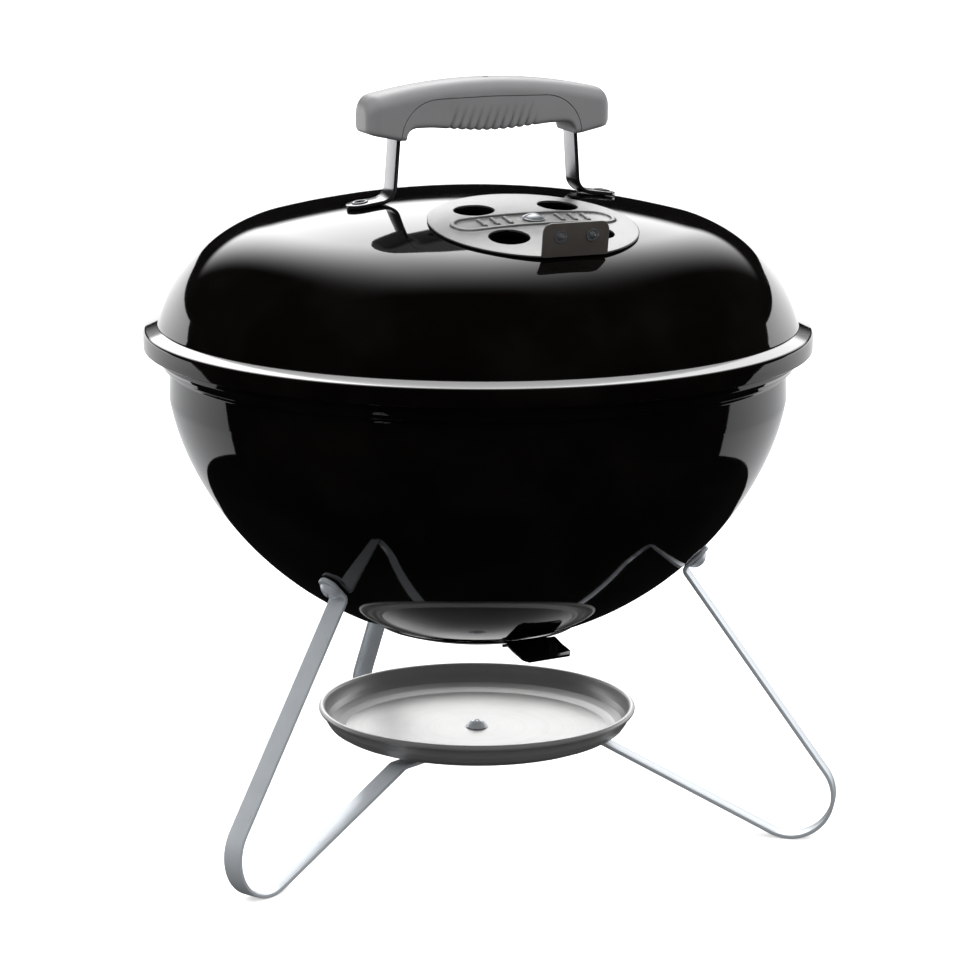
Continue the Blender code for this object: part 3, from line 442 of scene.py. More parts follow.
tab_edge = math.sqrt(DISC_RADIUS**2 - (LUG_WIDTH / 2) ** 2) - 0.0006
lug_low = DISC_LIFT - crown_sag(tab_edge)
disc_mesh = spin(disc_outline(crown_sag, 120), 360)
press_band(disc_mesh)
chord = (rounded_box((0.02, 0.2, 0.06), 0.0005), Matrix.Translation((tab_edge + 0.01, 0, 0)))
disc_mesh = cut(disc_mesh, *vent_tools(DISC_HOLE_RADIUS, unmoved), chord)
lug = (
    rounded_box((DISC_SHEET, LUG_WIDTH - 0.004, LUG_HEIGHT), 0.0004),
    Matrix.Translation((tab_edge - DISC_SHEET / 2, 0, lug_low + LUG_HEIGHT / 2)),
)
lid_damper_place = lid_place @ lid_vent
fit(
    "lid_damper_disc",
    join((disc_mesh, unmoved), lug),
    lid_damper_place,
    brushed.material,
    "lid_damper",
    "brushed_aluminium",
    "lid_damper",
)


# Tab of the lid's damper: a small upright plate in dark enamel, riveted to the lug at two points.
# Its two rivets are plated steel, each in a slight ring.
TAB_SHEET = 0.0016
TAB_HEIGHT = 0.0185
TAB_CORNER = 0.0050
TAB_HALF_WIDTH = 0.0188
TAB_RIVET_SPACING = 0.018
TAB_RIVET_RISE = 0.0112
TAB_RIVET_HEIGHT = 0.0011
TAB_RIVET_SHANK = 0.0012


def plate(outline, thickness, rounding, segments=3):
    """A flat outline in XY made a plate about z = 0, its edges rounded."""
    shape = bmesh.new()
    face = shape.faces.new([shape.verts.new((x, y, -thickness / 2)) for x, y in outline])
    grown = bmesh.ops.extrude_face_region(shape, geom=[face])
    upper = [item for item in grown["geom"] if isinstance(item, bmesh.types.BMVert)]
    bmesh.ops.translate(shape, verts=upper, vec=(0, 0, thickness))
    bmesh.ops.recalc_face_normals(shape, faces=shape.faces)
    rims = [edge for edge in shape.edges if abs(edge.verts[0].co.z - edge.verts[1].co.z) < thickness / 4]
    bmesh.ops.bevel(shape, geom=rims, offset=rounding, segments=segments, profile=0.5, affect="EDGES")
    return finished(shape)


# Dark brown-black enamel of the tab, faintly clouded
tab_enamel = Recipe("dark_tab", {"IOR": 1.7})
speckle = tab_enamel.noise(tab_enamel.place(), 700, 3.0)
cloud = tab_enamel.noise(tab_enamel.place(), 80, 3.0)
tab_enamel.surface(
    cloud, (0.036, 0.032, 0.029), (0.062, 0.056, 0.051),
    0.10 + cloud * 0.10 + speckle * 0.05, cloud + speckle * 0.2, 0.00006,
)

# Plated steel of the fixings: bright, faintly blue, with fine turning marks
plated = Recipe("plated_steel", {"Metallic": 0.9})
marks = plated.noise(plated.stretch((1.0, 1.0, 9.0)), 400, 3.0)
plated.surface(marks, (0.38, 0.40, 0.42), (0.48, 0.50, 0.52), 0.16 + marks * 0.14, marks, 0.00003)

tab_low = 0.0008 - crown_sag(tab_edge + 0.003)
tab_outline = bend(
    [
        (TAB_HALF_WIDTH, tab_low + TAB_HEIGHT / 2),
        (TAB_HALF_WIDTH, tab_low + TAB_HEIGHT, TAB_CORNER),
        (-TAB_HALF_WIDTH, tab_low + TAB_HEIGHT, TAB_CORNER),
        (-TAB_HALF_WIDTH, tab_low, 0.0008),
        (TAB_HALF_WIDTH, tab_low, 0.0008),
        (TAB_HALF_WIDTH, tab_low + TAB_HEIGHT / 2 - 0.001),
    ]
)
upright = Matrix.Rotation(math.pi / 2, 4, "Y") @ Matrix.Rotation(math.pi / 2, 4, "Z")
tab_place = lid_damper_place @ Matrix.Translation((tab_edge + 0.0003 + TAB_SHEET / 2, 0, 0)) @ upright
tab_mesh = plate(tab_outline, TAB_SHEET, 0.0004)
fit("lid_damper_grip_tab", tab_mesh, tab_place, tab_enamel.material, "lid_damper", "dark_tab", "lid_damper_tab")


def head(radius, height, shank, length, crown=1.0):
    """A domed head on a seat at z = 0, over a shank that ends with a small rounded rim."""
    ball = (radius**2 + height**2) / (2 * height)
    lean = math.asin(min(1.0, radius / ball))
    dome = arc((0, height - ball), ball, math.pi / 2, math.pi / 2 - lean * crown, 12)
    foot = bend([(radius, 0.0002), (radius, 0, 0.00015), (shank, 0), (shank, -length), (0, -length)], 3)
    return [(0, height)] + dome[1:-1] + foot


ring = spin([(0.0022, 0.0001), (0.0031, 0.0003), (0.0034, 0.0001), (0.0033, -0.0002), (0.0022, -0.0002)], 40)
rivet_line = head(0.0022, TAB_RIVET_HEIGHT, TAB_RIVET_SHANK, 0.0034)
for word, side in (("left", -1), ("right", 1)):
    rivet = join((spin(rivet_line, 40), unmoved), (ring, unmoved))
    across = side * TAB_RIVET_SPACING / 2
    spot = Matrix.Translation((tab_edge + TAB_SHEET + 0.0006, across, lug_low + TAB_RIVET_RISE))
    place = lid_damper_place @ spot @ Matrix.Rotation(math.pi / 2, 4, "Y")
    name, node = f"lid_tab_rivet_head_{word}", f"lid_tab_rivet_{word}"
    fit(name, rivet, place, plated.material, "lid_damper", "plated_steel", node)


# Damper rivets and their washers: a broad domed head over each disc and a washer inside the shell.
# They stay with the shell while the damper turns round them.
PIVOT_HEAD = 0.0062
PIVOT_RISE = 0.0024
PIVOT_SHANK = 0.0029
PIVOT_LENGTH = 0.0050
WASHER_RADIUS = 0.0080
WASHER_SHEET = 0.0010


def pivot_rivet(name, place, body, node):
    seat = Matrix.Translation((0, 0, 2 * DISC_LIFT + DISC_SHEET))
    mesh = spin(head(PIVOT_HEAD, PIVOT_RISE, PIVOT_SHANK, PIVOT_LENGTH), 64)
    return fit(name, mesh, place @ seat, plated.material, body, "plated_steel", node)


def washer(name, bore, radius, place, body, node):
    upper = [(bore, 0.0005), (bore, WASHER_SHEET), (radius, WASHER_SHEET, 0.0003)]
    ring = bend(upper + [(radius, 0, 0.0003), (bore, 0), (bore, 0.0004)], 3)
    return fit(name, spin(ring, 64), place, plated.material, body, "plated_steel", node)


pivot_rivet("lid_damper_pivot", lid_damper_place, "lid", "lid_damper_rivet")
under_lid = lid_damper_place @ Matrix.Translation((0, 0, -SHEET - 0.0016))
washer("lid_damper_spring_washer", PIVOT_RADIUS, WASHER_RADIUS, under_lid, "lid", "lid_damper_washer")


# Handle bracket: one plated steel strip, bent out into two feet that follow the lid's curve, splayed a
# little in its struts, and carried through the grip. Each foot ends in a half round under its rivet.
STRAP_WIDTH = 0.0155
STRIP_SHEET = 0.0022
FOOT_SPOT = 0.0718
FOOT_REACH = 0.0795
STRUT_LOW = 0.0545
STRUT_HIGH = 0.0522
GRIP_FOOT = 0.3914
HANDLE_SHIFT = 0.0022
PARTING_TOP = 0.4137


def skin(shape, rings, degrees):
    """A closed skin over rings of points, with both ends filled."""
    for first, second in zip(rings, rings[1:]):
        for step in range(len(first)):
            on = (step + 1) % len(first)
            shape.faces.new((first[step], first[on], second[on], second[step]))
    shape.faces.new(rings[0][::-1])
    shape.faces.new(rings[-1])
    bmesh.ops.recalc_face_normals(shape, faces=shape.faces)
    return finished(shape, degrees)


def strip(path, thickness, width, round_start=True, round_end=True):
    """A flat strip bent along a path of (x, z), its width along Y and its ends rounded off."""
    points = [Vector(point) for point in path]
    lengths = [0.0]
    for first, second in zip(points, points[1:]):
        lengths.append(lengths[-1] + (second - first).length)
    total = lengths[-1]
    nose = [width / 2 * (1 - math.cos(math.pi / 2 * step / 8)) for step in range(9)]
    stations = set(lengths)
    stations |= {max(reach, 0.00002) for reach in nose} if round_start else set()
    stations |= {total - max(reach, 0.00002) for reach in nose} if round_end else set()
    if round_start:
        stations.discard(0.0)
    if round_end:
        stations.discard(total)
    corner = thickness * 0.3
    section = []
    for turn, (side, level) in enumerate(((1, 1), (-1, 1), (-1, -1), (1, -1))):
        middle = (side * (width / 2 - corner), level * (thickness / 2 - corner))
        section += arc(middle, corner, turn * math.pi / 2, (turn + 1) * math.pi / 2, 3)
    shape = bmesh.new()
    rings = []
    for station in sorted(stations):
        index = max(i for i in range(len(points) - 1) if lengths[i] <= station + 1e-9)
        share = (station - lengths[index]) / (lengths[index + 1] - lengths[index])
        spot = points[index].lerp(points[index + 1], share)
        after = points[index + 1] - points[index]
        before = points[index] - points[index - 1] if share < 1e-6 and index else after
        along = (before.normalized() + after.normalized()).normalized()
        mitre = 1 / max(0.5, along.dot(after.normalized()))
        near = width / 2
        if round_start:
            near = min(near, station)
        if round_end:
            near = min(near, total - station)
        half_width = math.sqrt(max(0.0, (width / 2) ** 2 - (width / 2 - near) ** 2))
        ring = []
        for across, level in section:
            up = level * mitre
            side = across * half_width / (width / 2)
            ring.append(shape.verts.new((spot.x - along.y * up, side, spot.y + along.x * up)))
        rings.append(ring)
    return skin(shape, rings, 40)


# Chrome of the bracket: nearly a mirror, with faint rolling lines along the strip
chrome = Recipe("bright_chrome", {"Metallic": 1.0})
rolling = chrome.noise(chrome.stretch((1.0, 40.0, 1.0)), 50, 3.0)
haze = chrome.noise(chrome.place(), 120, 3.0)
chrome.surface(
    haze, (0.24, 0.24, 0.25), (0.31, 0.31, 0.32), 0.15 + rolling * 0.06 + haze * 0.06, rolling, 0.00003
)

foot_slope = math.asin(FOOT_SPOT / CROWN_RADIUS)
foot_up = Vector((math.sin(foot_slope), math.cos(foot_slope)))
foot_along = Vector((math.cos(foot_slope), -math.sin(foot_slope)))
foot_middle = Vector((FOOT_SPOT, crown_height(FOOT_SPOT))) + foot_up * (STRIP_SHEET / 2 + 0.0003)
foot_tip = foot_middle + foot_along * (FOOT_REACH - FOOT_SPOT)
foot_heel = foot_middle - foot_along * ((FOOT_SPOT - STRUT_LOW) / math.cos(foot_slope))
half_bracket = bend(
    [
        (0, PARTING_TOP),
        (0.030, PARTING_TOP - 0.0006),
        (STRUT_HIGH, PARTING_TOP - 0.002, 0.012),
        (STRUT_HIGH + 0.0002, GRIP_FOOT),
        (foot_heel.x, foot_heel.y, 0.0085),
        tuple(foot_tip),
    ],
    10,
)
bracket_line = [(-x, z) for x, z in half_bracket[::-1]] + half_bracket[1:]
bracket_mesh = strip(bracket_line, STRIP_SHEET, STRAP_WIDTH)
over_crown = Matrix.Translation((0, 0, crown_centre))
along_crown = Matrix.Rotation(HANDLE_SHIFT / CROWN_RADIUS, 4, "Y")
handle_place = lid_place @ over_crown @ along_crown @ over_crown.inverted()
fit("handle_strap", bracket_mesh, handle_place, chrome.material, "lid", "plated_steel", "handle_bracket")


# Bracket rivets: hollow steel rivets, one through each foot, with a plain washer inside the lid.
# The head is a flat ring with a dished middle.
for word, side in (("left", math.pi), ("right", 0)):
    place = (
        handle_place
        @ Matrix.Rotation(side, 4, "Z")
        @ Matrix.Translation((foot_middle.x, 0, foot_middle.y))
        @ Matrix.Rotation(foot_slope, 4, "Y")
    )
    on_foot = place @ Matrix.Translation((0, 0, STRIP_SHEET / 2 + 0.0002))
    hollow = bend(
        [
            (0, -0.0010),
            (0.0024, -0.0010, 0.0004),
            (0.0030, 0.0006, 0.0005),
            (0.0042, 0.0006, 0.0005),
            (0.0048, -0.0002, 0.0002),
            (0.0029, 0),
            (0.0029, -0.0058, 0.0003),
            (0, -0.0058),
        ],
        4,
    )
    name, node = f"bracket_rivet_head_{word}", f"bracket_rivet_{word}"
    fit(name, spin(hollow, 48), on_foot, chrome.material, "lid", "plated_steel", node)
    inside = place @ Matrix.Translation((0, 0, -STRIP_SHEET / 2 - 0.0003 - SHEET - 0.0016))
    washer(f"bracket_lid_washer_{word}", 0.0033, 0.0065, inside, "lid", f"bracket_washer_{word}")


# Grip: two grey mouldings screwed together over the strap. The cap has a soft domed back and sloping ends;
# the insert under it swells for the fingers and has curved ribs. A fine groove parts them along an arch.
GRIP_HALF = 0.0718
GRIP_HALF_WIDTH = 0.0140
GRIP_TOP = 0.4232
GRIP_ARCH_RADIUS = 0.3000
END_LIFT = 0.0040
END_CORNER = 0.0062
PLAN_CORNER = 0.0078
LEG_INNER = 0.0500
UNDER_FILLET = 0.0065
FINGER_SWELL = 0.0026
RIB_PITCH = 0.0049
RIB_SPAN = 0.0270
RIB_DEPTH = 0.0024
RIB_LEAN = 0.35
PARTING_HALF = 0.0530
PARTING_BEND = 0.0215
GROOVE = 0.0004
SCREW_SPOT = 0.033
SCREW_LEVEL = 0.4050
SCREW_BORE = 0.0033


def grip_profile(x):
    """The grip's half width, lowest and highest point at a distance along it."""
    far = abs(x)
    high = GRIP_TOP - GRIP_ARCH_RADIUS + math.sqrt(GRIP_ARCH_RADIUS**2 - x**2)
    past = max(0.0, far - GRIP_HALF + END_CORNER)
    high -= END_CORNER - math.sqrt(max(0.0, END_CORNER**2 - past**2))
    out = max(0.0, far - GRIP_HALF + PLAN_CORNER)
    wide = GRIP_HALF_WIDTH - PLAN_CORNER + math.sqrt(max(0.0, PLAN_CORNER**2 - out**2))
    if far > LEG_INNER:
        low = GRIP_FOOT + END_LIFT * max(0.0, far - PARTING_HALF) / (GRIP_HALF - PARTING_HALF)
        low += 0.5 * max(0.0, far - GRIP_HALF + 0.003)
    else:
        reach = max(0.0, far - LEG_INNER + UNDER_FILLET)
        low = GRIP_FOOT + math.sqrt(UNDER_FILLET**2 - reach**2)
        low -= FINGER_SWELL * max(0.0, 1 - (far / 0.036) ** 2) ** 1.5
    return wide, low, high


def rib_depth(x, z, low):
    """How far the ribs' grooves cut in at a point on the grip's skin."""
    share = min(1.0, max(0.0, (low + 0.0135 - z) / 0.0125))
    edge = min(1.0, max(0.0, (RIB_SPAN - abs(x)) / 0.003))
    along = (x - RIB_LEAN * (z - low)) / RIB_PITCH
    ridge = abs(math.sin(math.pi * along)) ** 0.7
    return RIB_DEPTH * share * edge * (1 - ridge)


def grip_ring(x):
    """The outline of the grip's section at a distance along it, as (y, z), all the way round."""
    wide, low, high = grip_profile(x)
    tall = high - low
    top = min(0.0078, tall * 0.45)
    side = min(0.0105, wide * 0.85)
    foot = min(0.0026, tall * 0.2, wide * 0.4)
    right = [(y, low) for y in (0.0, (wide - foot) * 0.5)]
    right += arc((wide - foot, low + foot), foot, -math.pi / 2, 0, 5)
    rise = high - top - low - foot
    right += [(wide, low + foot + rise * step / 10) for step in range(1, 10)]
    quarter = [math.pi / 2 * step / 12 for step in range(13)]
    right += [(wide - side + side * math.cos(a) ** 0.9, high - top + top * math.sin(a) ** 0.9) for a in quarter]
    right.append((0.0, high + 0.0001))
    left = [(-y, z) for y, z in right[-2:0:-1]]
    ring = []
    for y, z in right + left:
        depth = rib_depth(x, z, low)
        pull = min(1.0, abs(y) / wide)
        ring.append((y - math.copysign(depth * pull**3, y), z + depth * (1 - pull**3)))
    return ring


def grip_body():
    """The whole grip before it is parted."""
    corner = PLAN_CORNER
    ends = [GRIP_HALF - corner * (1 - math.sin(math.pi / 2 * step / 14)) for step in range(15)]
    inner = GRIP_HALF - corner
    count = 280
    even = [inner * (2 * step / count - 1) for step in range(count + 1)]
    steps_in = [side * (LEG_INNER - 0.00001) for side in (-1, 1)]
    stations = sorted([-x for x in ends[1:]] + even + ends[1:] + steps_in)
    shape = bmesh.new()
    rings = [[shape.verts.new((x, y, z)) for y, z in grip_ring(x)] for x in stations]
    return skin(shape, rings, 45)


def parting_block(grow):
    """The block under the parting arch, grown by a distance all round."""
    side = PARTING_HALF + grow
    top = PARTING_TOP + grow
    low = GRIP_FOOT - 0.02
    bend_radius = PARTING_BEND + grow
    arch = [(-side, top - 0.0008, bend_radius), (0, top + 0.0002, 0.2), (side, top - 0.0008, bend_radius)]
    return plate(bend([(-side, low), *arch, (side, low)], 14), 0.06, 0.0005, 1)


# Grey moulded plastic with a fine even grain and a slightly paler bloom
grip_plastic = Recipe("grey_grip_plastic", {"IOR": 1.55})
grain = grip_plastic.noise(grip_plastic.place(), 2600, 2.0)
bloom = grip_plastic.noise(grip_plastic.place(), 45, 3.0)
grip_plastic.surface(
    bloom, (0.170, 0.172, 0.175), (0.205, 0.207, 0.210), 0.30 + grain * 0.12, grain + bloom * 0.2, 0.00010
)

stand = Matrix.Rotation(math.pi / 2, 4, "X")
whole_grip = grip_body()
gate_mark = (drill(0.0018, -0.0006, 0.01), Matrix.Translation((0.001, 0, GRIP_TOP)))
cap_mesh = cut(whole_grip.copy(), (parting_block(GROOVE), stand), gate_mark)
fit("grip_cap", cap_mesh, handle_place, grip_plastic.material, "lid", "grip_plastic", "handle_cap")
insert_mesh = cut(whole_grip, (parting_block(0.0), stand), operation="INTERSECT")
screw_spots = [Matrix.Translation((side * SCREW_SPOT, 0, SCREW_LEVEL)) for side in (-1, 1)]
insert_mesh = cut(insert_mesh, *[(drill(SCREW_BORE, -0.02, 0.0), spot) for spot in screw_spots])
fit("grip_insert", insert_mesh, handle_place, grip_plastic.material, "lid", "grip_plastic", "handle_insert")
for word, spot in zip(("left", "right"), screw_spots):
    arms = [rounded_box(size, 0.0002) for size in ((0.0034, 0.0008, 0.002), (0.0008, 0.0034, 0.002))]
    deep = Matrix.Translation((0, 0, 0.0018))
    screw_mesh = cut(spin(head(0.0030, 0.0018, 0.0015, 0.0140), 40), *[(arm, deep) for arm in arms])
    place = handle_place @ spot @ Matrix.Rotation(math.pi, 4, "X")
    name, node = f"grip_screw_head_{word}", f"grip_screw_{word}"
    fit(name, screw_mesh, place, plated.material, "lid", "plated_steel", node)


# Bowl: deep pressed steel in the same enamel, with a rounded body, a stepped neck, a ledge for the grate
# and a rolled rim that the lid stands on. It has four vents in its bottom round the damper's rivet.
BOWL_RADIUS = 0.172
BOWL_SHOULDER = 0.2581
BOWL_DEPTH = 0.1482
BOWL_FULLNESS = 1.18
NECK_RADIUS = 0.1704
LEDGE_LOW = 0.2630
LEDGE_HIGH = 0.2706
RIM_RADIUS = 0.1782
BEAD_RADIUS = 0.0022
BOWL_DAMPER_TURN = math.radians(-78)


def bowl_point(angle):
    """The outside of the bowl's body from its bottom (0) to its shoulder (a quarter turn)."""
    height = BOWL_SHOULDER - BOWL_DEPTH * max(0.0, math.cos(angle)) ** BOWL_FULLNESS
    return BOWL_RADIUS * math.sin(angle), height


def bowl_sag(radius):
    return bowl_point(math.asin(radius / BOWL_RADIUS))[1] - BOWL_SHOULDER + BOWL_DEPTH


rim_drop = (RIM_RADIUS - DOME_RADIUS) * math.tan(LEDGE_SLOPE)
rim_top = DOME_BASE - rim_drop - SHEET / math.cos(LEDGE_SLOPE) - 0.0003
ledge = RIM_RADIUS - NECK_RADIUS
drop = LEDGE_HIGH - LEDGE_LOW
bowl_outside = bend(
    [
        (RIM_RADIUS - SHEET / 2, rim_top - 2 * BEAD_RADIUS),
        (RIM_RADIUS - SHEET / 2, LEDGE_HIGH, 0.0008),
        (RIM_RADIUS - 0.30 * ledge, LEDGE_HIGH - 0.28 * drop, 0.0013),
        (RIM_RADIUS - 0.46 * ledge, LEDGE_HIGH - 0.60 * drop, 0.0013),
        (RIM_RADIUS - 0.85 * ledge, LEDGE_HIGH - 0.82 * drop, 0.0012),
        (NECK_RADIUS, LEDGE_LOW, 0.0014),
        bowl_point(math.radians(84)),
    ]
)
bowl_outside += [bowl_point(math.radians(84 - 2 * step)) for step in range(1, 42)]
bowl_outside.append((0, BOWL_SHOULDER - BOWL_DEPTH))
bowl_inside = offset(bowl_outside, -SHEET)
bowl_inside[-1] = (0, bowl_inside[-1][1])
rolled = arc((RIM_RADIUS, rim_top - BEAD_RADIUS), BEAD_RADIUS, math.radians(150), math.radians(-105), 14)
bowl_outline = rolled + bowl_outside + bowl_inside[:0:-1] + [(bowl_inside[0][0], rim_top - BEAD_RADIUS)]
bowl_vent = (
    Matrix.Translation((0, 0, BOWL_SHOULDER - BOWL_DEPTH))
    @ Matrix.Rotation(BOWL_DAMPER_TURN, 4, "Z")
    @ Matrix.Rotation(math.pi, 4, "X")
)
bowl_mesh = cut(spin(bowl_outline, 192), *vent_tools(VENT_RADIUS, bowl_vent))
fit("bowl_shell", bowl_mesh, kettle, enamel, "kettle", "black_enamel", "bowl")


# Damper under the bowl: the same disc in black enamel, with a flat blade riveted to it that reaches out
# under the bowl, bent a little down, so that it can be turned with a finger.
BLADE_REACH = 0.0195
BLADE_WIDTH = 0.032
BLADE_DROP = math.radians(14)
BLADE_CORNER = 0.0055
ROOT_CORNER = 0.0095

bowl_damper_place = kettle @ bowl_vent
disc_mesh = cut(spin(disc_outline(bowl_sag, 24), 160), *vent_tools(DISC_HOLE_RADIUS, unmoved))
fit("bowl_damper_disc", disc_mesh, bowl_damper_place, enamel, "bowl_damper", "black_enamel", "bowl_damper")
pivot_rivet("bowl_damper_pivot", bowl_damper_place, "kettle", "bowl_damper_rivet")
in_bowl = bowl_damper_place @ Matrix.Translation((0, 0, -SHEET - 0.0016 - bowl_sag(WASHER_RADIUS)))
washer("bowl_damper_spring_washer", PIVOT_RADIUS, WASHER_RADIUS, in_bowl, "kettle", "bowl_damper_washer")

root = DISC_RADIUS - 0.0075
root_slope = math.atan2(bowl_sag(root + 0.003) - bowl_sag(root - 0.003), 0.006)
lift = DISC_LIFT + DISC_SHEET + TAB_SHEET / 2 + 0.0003
root_middle = Vector((root, -bowl_sag(root))) + lift * Vector((math.sin(root_slope), math.cos(root_slope)))
down = Vector((math.cos(root_slope), -math.sin(root_slope)))
root_end = root_middle + down * 0.0055
blade_tip = root_end + BLADE_REACH * Vector((math.cos(BLADE_DROP), math.sin(BLADE_DROP)))
blade_line = bend([tuple(root_middle - down * 0.006), (*root_end, 0.004), tuple(blade_tip)], 8)


def blade(line, thickness, width):
    """A bent strip whose free corners are rounded off, and whose root follows the disc's curve."""
    mesh = strip(line, thickness, width, False, False)
    start, end = Vector(line[0]), Vector(line[-1])
    for vertex in mesh.vertices:
        for spot, corner in ((start, ROOT_CORNER), (end, BLADE_CORNER)):
            reach = (Vector((vertex.co.x, vertex.co.z)) - spot).length
            if reach < corner:
                limit = width / 2 - corner + math.sqrt(max(0.0, corner**2 - (corner - reach) ** 2))
                vertex.co.y = max(-limit, min(limit, vertex.co.y))
        hug = min(1.0, max(0.0, (root_end.x + 0.006 - vertex.co.x) / 0.006))
        vertex.co.z -= hug * (bowl_sag(math.hypot(vertex.co.x, vertex.co.y)) - bowl_sag(abs(vertex.co.x)))
    return mesh


dense = [blade_line[0]]
for first, second in zip(blade_line, blade_line[1:]):
    parts = max(1, int(math.dist(first, second) / 0.0007))
    dense += [tuple(Vector(first).lerp(Vector(second), part / parts)) for part in range(1, parts + 1)]
blade_mesh = blade(dense, TAB_SHEET, BLADE_WIDTH)
fit("bowl_damper_blade", blade_mesh, bowl_damper_place, enamel, "bowl_damper", "dark_tab", "bowl_damper_tab")
for word, side in (("left", -1), ("right", 1)):
    spot = (
        Matrix.Translation((root_middle.x, side * TAB_RIVET_SPACING / 2, root_middle.y))
        @ Matrix.Rotation(root_slope, 4, "Y")
        @ Matrix.Translation((0, 0, TAB_SHEET / 2 + 0.0002))
    )
    rivet = spin(head(0.0023, TAB_RIVET_HEIGHT, TAB_RIVET_SHANK, 0.0030), 40)
    name, node = f"bowl_tab_rivet_head_{word}", f"bowl_tab_rivet_{word}"
    fit(name, rivet, bowl_damper_place @ spot, tab_enamel.material, "bowl_damper", "plated_steel", node)


# Legs: three plated steel strips. Each is bolted to the bowl through its rounded end, runs down and out,
# bends round a foot and comes back in, where all three are stacked under the ash pan on one bolt.
LEG_TURNS = {"right": math.radians(-30), "rear": math.radians(90), "left": math.radians(210)}
LEG_BOLT_SPOT = 0.1218
LEG_TAB = 0.009
LEG_FOOT = 0.1785
LEG_FOOT_RADIUS = 0.0251
LEG_INNER_BEND = 0.0680
LEG_WIDTH = 0.0120
LEG_END = 0.0095
PAN_UNDER = 0.0536

# Zinc plating on rolled strip: grey with a blue cast, long faint rolling lines and small clouds
zinc = Recipe("zinc_plated_strip", {"Metallic": 0.6})
lines = zinc.noise(zinc.stretch((0.6, 30.0, 0.6)), 60, 3.0)
clouds = zinc.noise(zinc.place(), 70, 4.0)
zinc.surface(
    clouds, (0.60, 0.64, 0.68), (0.72, 0.76, 0.80),
    0.20 + lines * 0.12 + clouds * 0.10, lines + clouds * 0.4, 0.00005,
)

bolt_angle = math.asin(LEG_BOLT_SPOT / BOWL_RADIUS)
low_side, high_side = bowl_point(bolt_angle - 0.001), bowl_point(bolt_angle + 0.001)
leg_slope = math.atan2(high_side[1] - low_side[1], high_side[0] - low_side[0])
up_bowl = Vector((math.cos(leg_slope), math.sin(leg_slope)))
off_bowl = Vector((math.sin(leg_slope), -math.cos(leg_slope)))
leg_seat = Vector(bowl_point(bolt_angle)) + off_bowl * (STRIP_SHEET / 2 + 0.0006)


def touch(point, centre, radius, side):
    """The angle at which a line from a point touches a circle."""
    away = Vector(point) - Vector(centre)
    return math.atan2(away.y, away.x) + side * math.acos(radius / away.length)


def leg_line(level):
    """A leg's middle line; level counts down the stack under the pan."""
    end = PAN_UNDER - 0.0003 - STRIP_SHEET / 2 - level * (STRIP_SHEET + 0.0003)
    start, knee = leg_seat + up_bowl * LEG_TAB, leg_seat - up_bowl * LEG_TAB
    radius = LEG_FOOT_RADIUS - STRIP_SHEET / 2
    centre = (LEG_FOOT, LEG_FOOT_RADIUS)
    inner = (LEG_INNER_BEND, end)
    first, last = touch(knee, centre, radius, -1), touch(inner, centre, radius, 1) - 2 * math.pi
    foot = arc(centre, radius, first, last, 40)
    top = bend([tuple(start), (*knee, 0.0032), foot[0]], 8)[:-1]
    return top + bend([*foot, (*inner, 0.008), (-LEG_END, end)], 8)


for level, (word, turn) in enumerate(LEG_TURNS.items()):
    leg_place = kettle @ Matrix.Rotation(turn, 4, "Z")
    leg_mesh = strip(leg_line(level), STRIP_SHEET, LEG_WIDTH)
    fit(f"leg_strip_{word}", leg_mesh, leg_place, zinc.material, "kettle", "plated_steel", f"leg_{word}")


# Leg bolts and nuts: cross-recessed domed bolts through each leg's end, each with a hexagon nut inside
# the bowl. The same bolt and nut hold the ash pan to the stacked legs.
BOLT_HEAD = 0.0062
BOLT_RISE = 0.0040
BOLT_SHANK = 0.0025


def bolt(length):
    """A domed bolt with a cross recess."""
    arms = [rounded_box(size, 0.0003) for size in ((0.0058, 0.0011, 0.0030), (0.0011, 0.0058, 0.0030))]
    deep = Matrix.Translation((0, 0, BOLT_RISE + 0.0004))
    return cut(spin(head(BOLT_HEAD, BOLT_RISE, BOLT_SHANK, length), 56), *[(arm, deep) for arm in arms])


def hexagon_nut():
    """A nut with its corners turned off, its bottom at z = 0."""
    across, height = 0.0080, 0.0040
    cone = [(0, height), (0.0039, height), (0.0049, height - 0.0008), (0.0049, 0.0008), (0.0039, 0), (0, 0)]
    prism = plate(arc((0, 0), across / math.sqrt(3), 0, 2 * math.pi, 6)[:-1], height, 0.0001, 1)
    shaped = cut(prism, (spin(cone, 48), Matrix.Translation((0, 0, -height / 2))), operation="INTERSECT")
    return cut(shaped, (drill(BOLT_SHANK + 0.0002, -0.01, 0.01), unmoved))


for word, turn in LEG_TURNS.items():
    outward = (
        kettle
        @ Matrix.Rotation(turn, 4, "Z")
        @ Matrix.Translation((leg_seat.x, 0, leg_seat.y))
        @ Matrix.Rotation(math.pi - leg_slope, 4, "Y")
        @ Matrix.Translation((0, 0, STRIP_SHEET / 2 + 0.0002))
    )
    tight = Matrix.Rotation(turn * 2, 4, "Z")
    name, node = f"leg_bolt_head_{word}", f"leg_bolt_{word}"
    fit(name, bolt(0.0105), outward @ tight, zinc.material, "kettle", "plated_steel", node)
    seat = outward @ Matrix.Translation((0, 0, -STRIP_SHEET - 0.0014 - SHEET - 0.0020))
    name, node = f"leg_hexagon_nut_{word}", f"leg_nut_{word}"
    fit(name, hexagon_nut(), seat, plated.material, "kettle", "plated_steel", node)


# Ash pan: a spun aluminium dish with a rolled edge, a stepped wall and a flat satin floor. It sits on the
# stacked ends of the legs under the bowl and is held by the bolt through its middle.
PAN_RADIUS = 0.0893
PAN_RIM = 0.0690
PAN_BEAD = 0.0017
PAN_FLOOR_RADIUS = 0.0745
PAN_SHEET = 0.0012
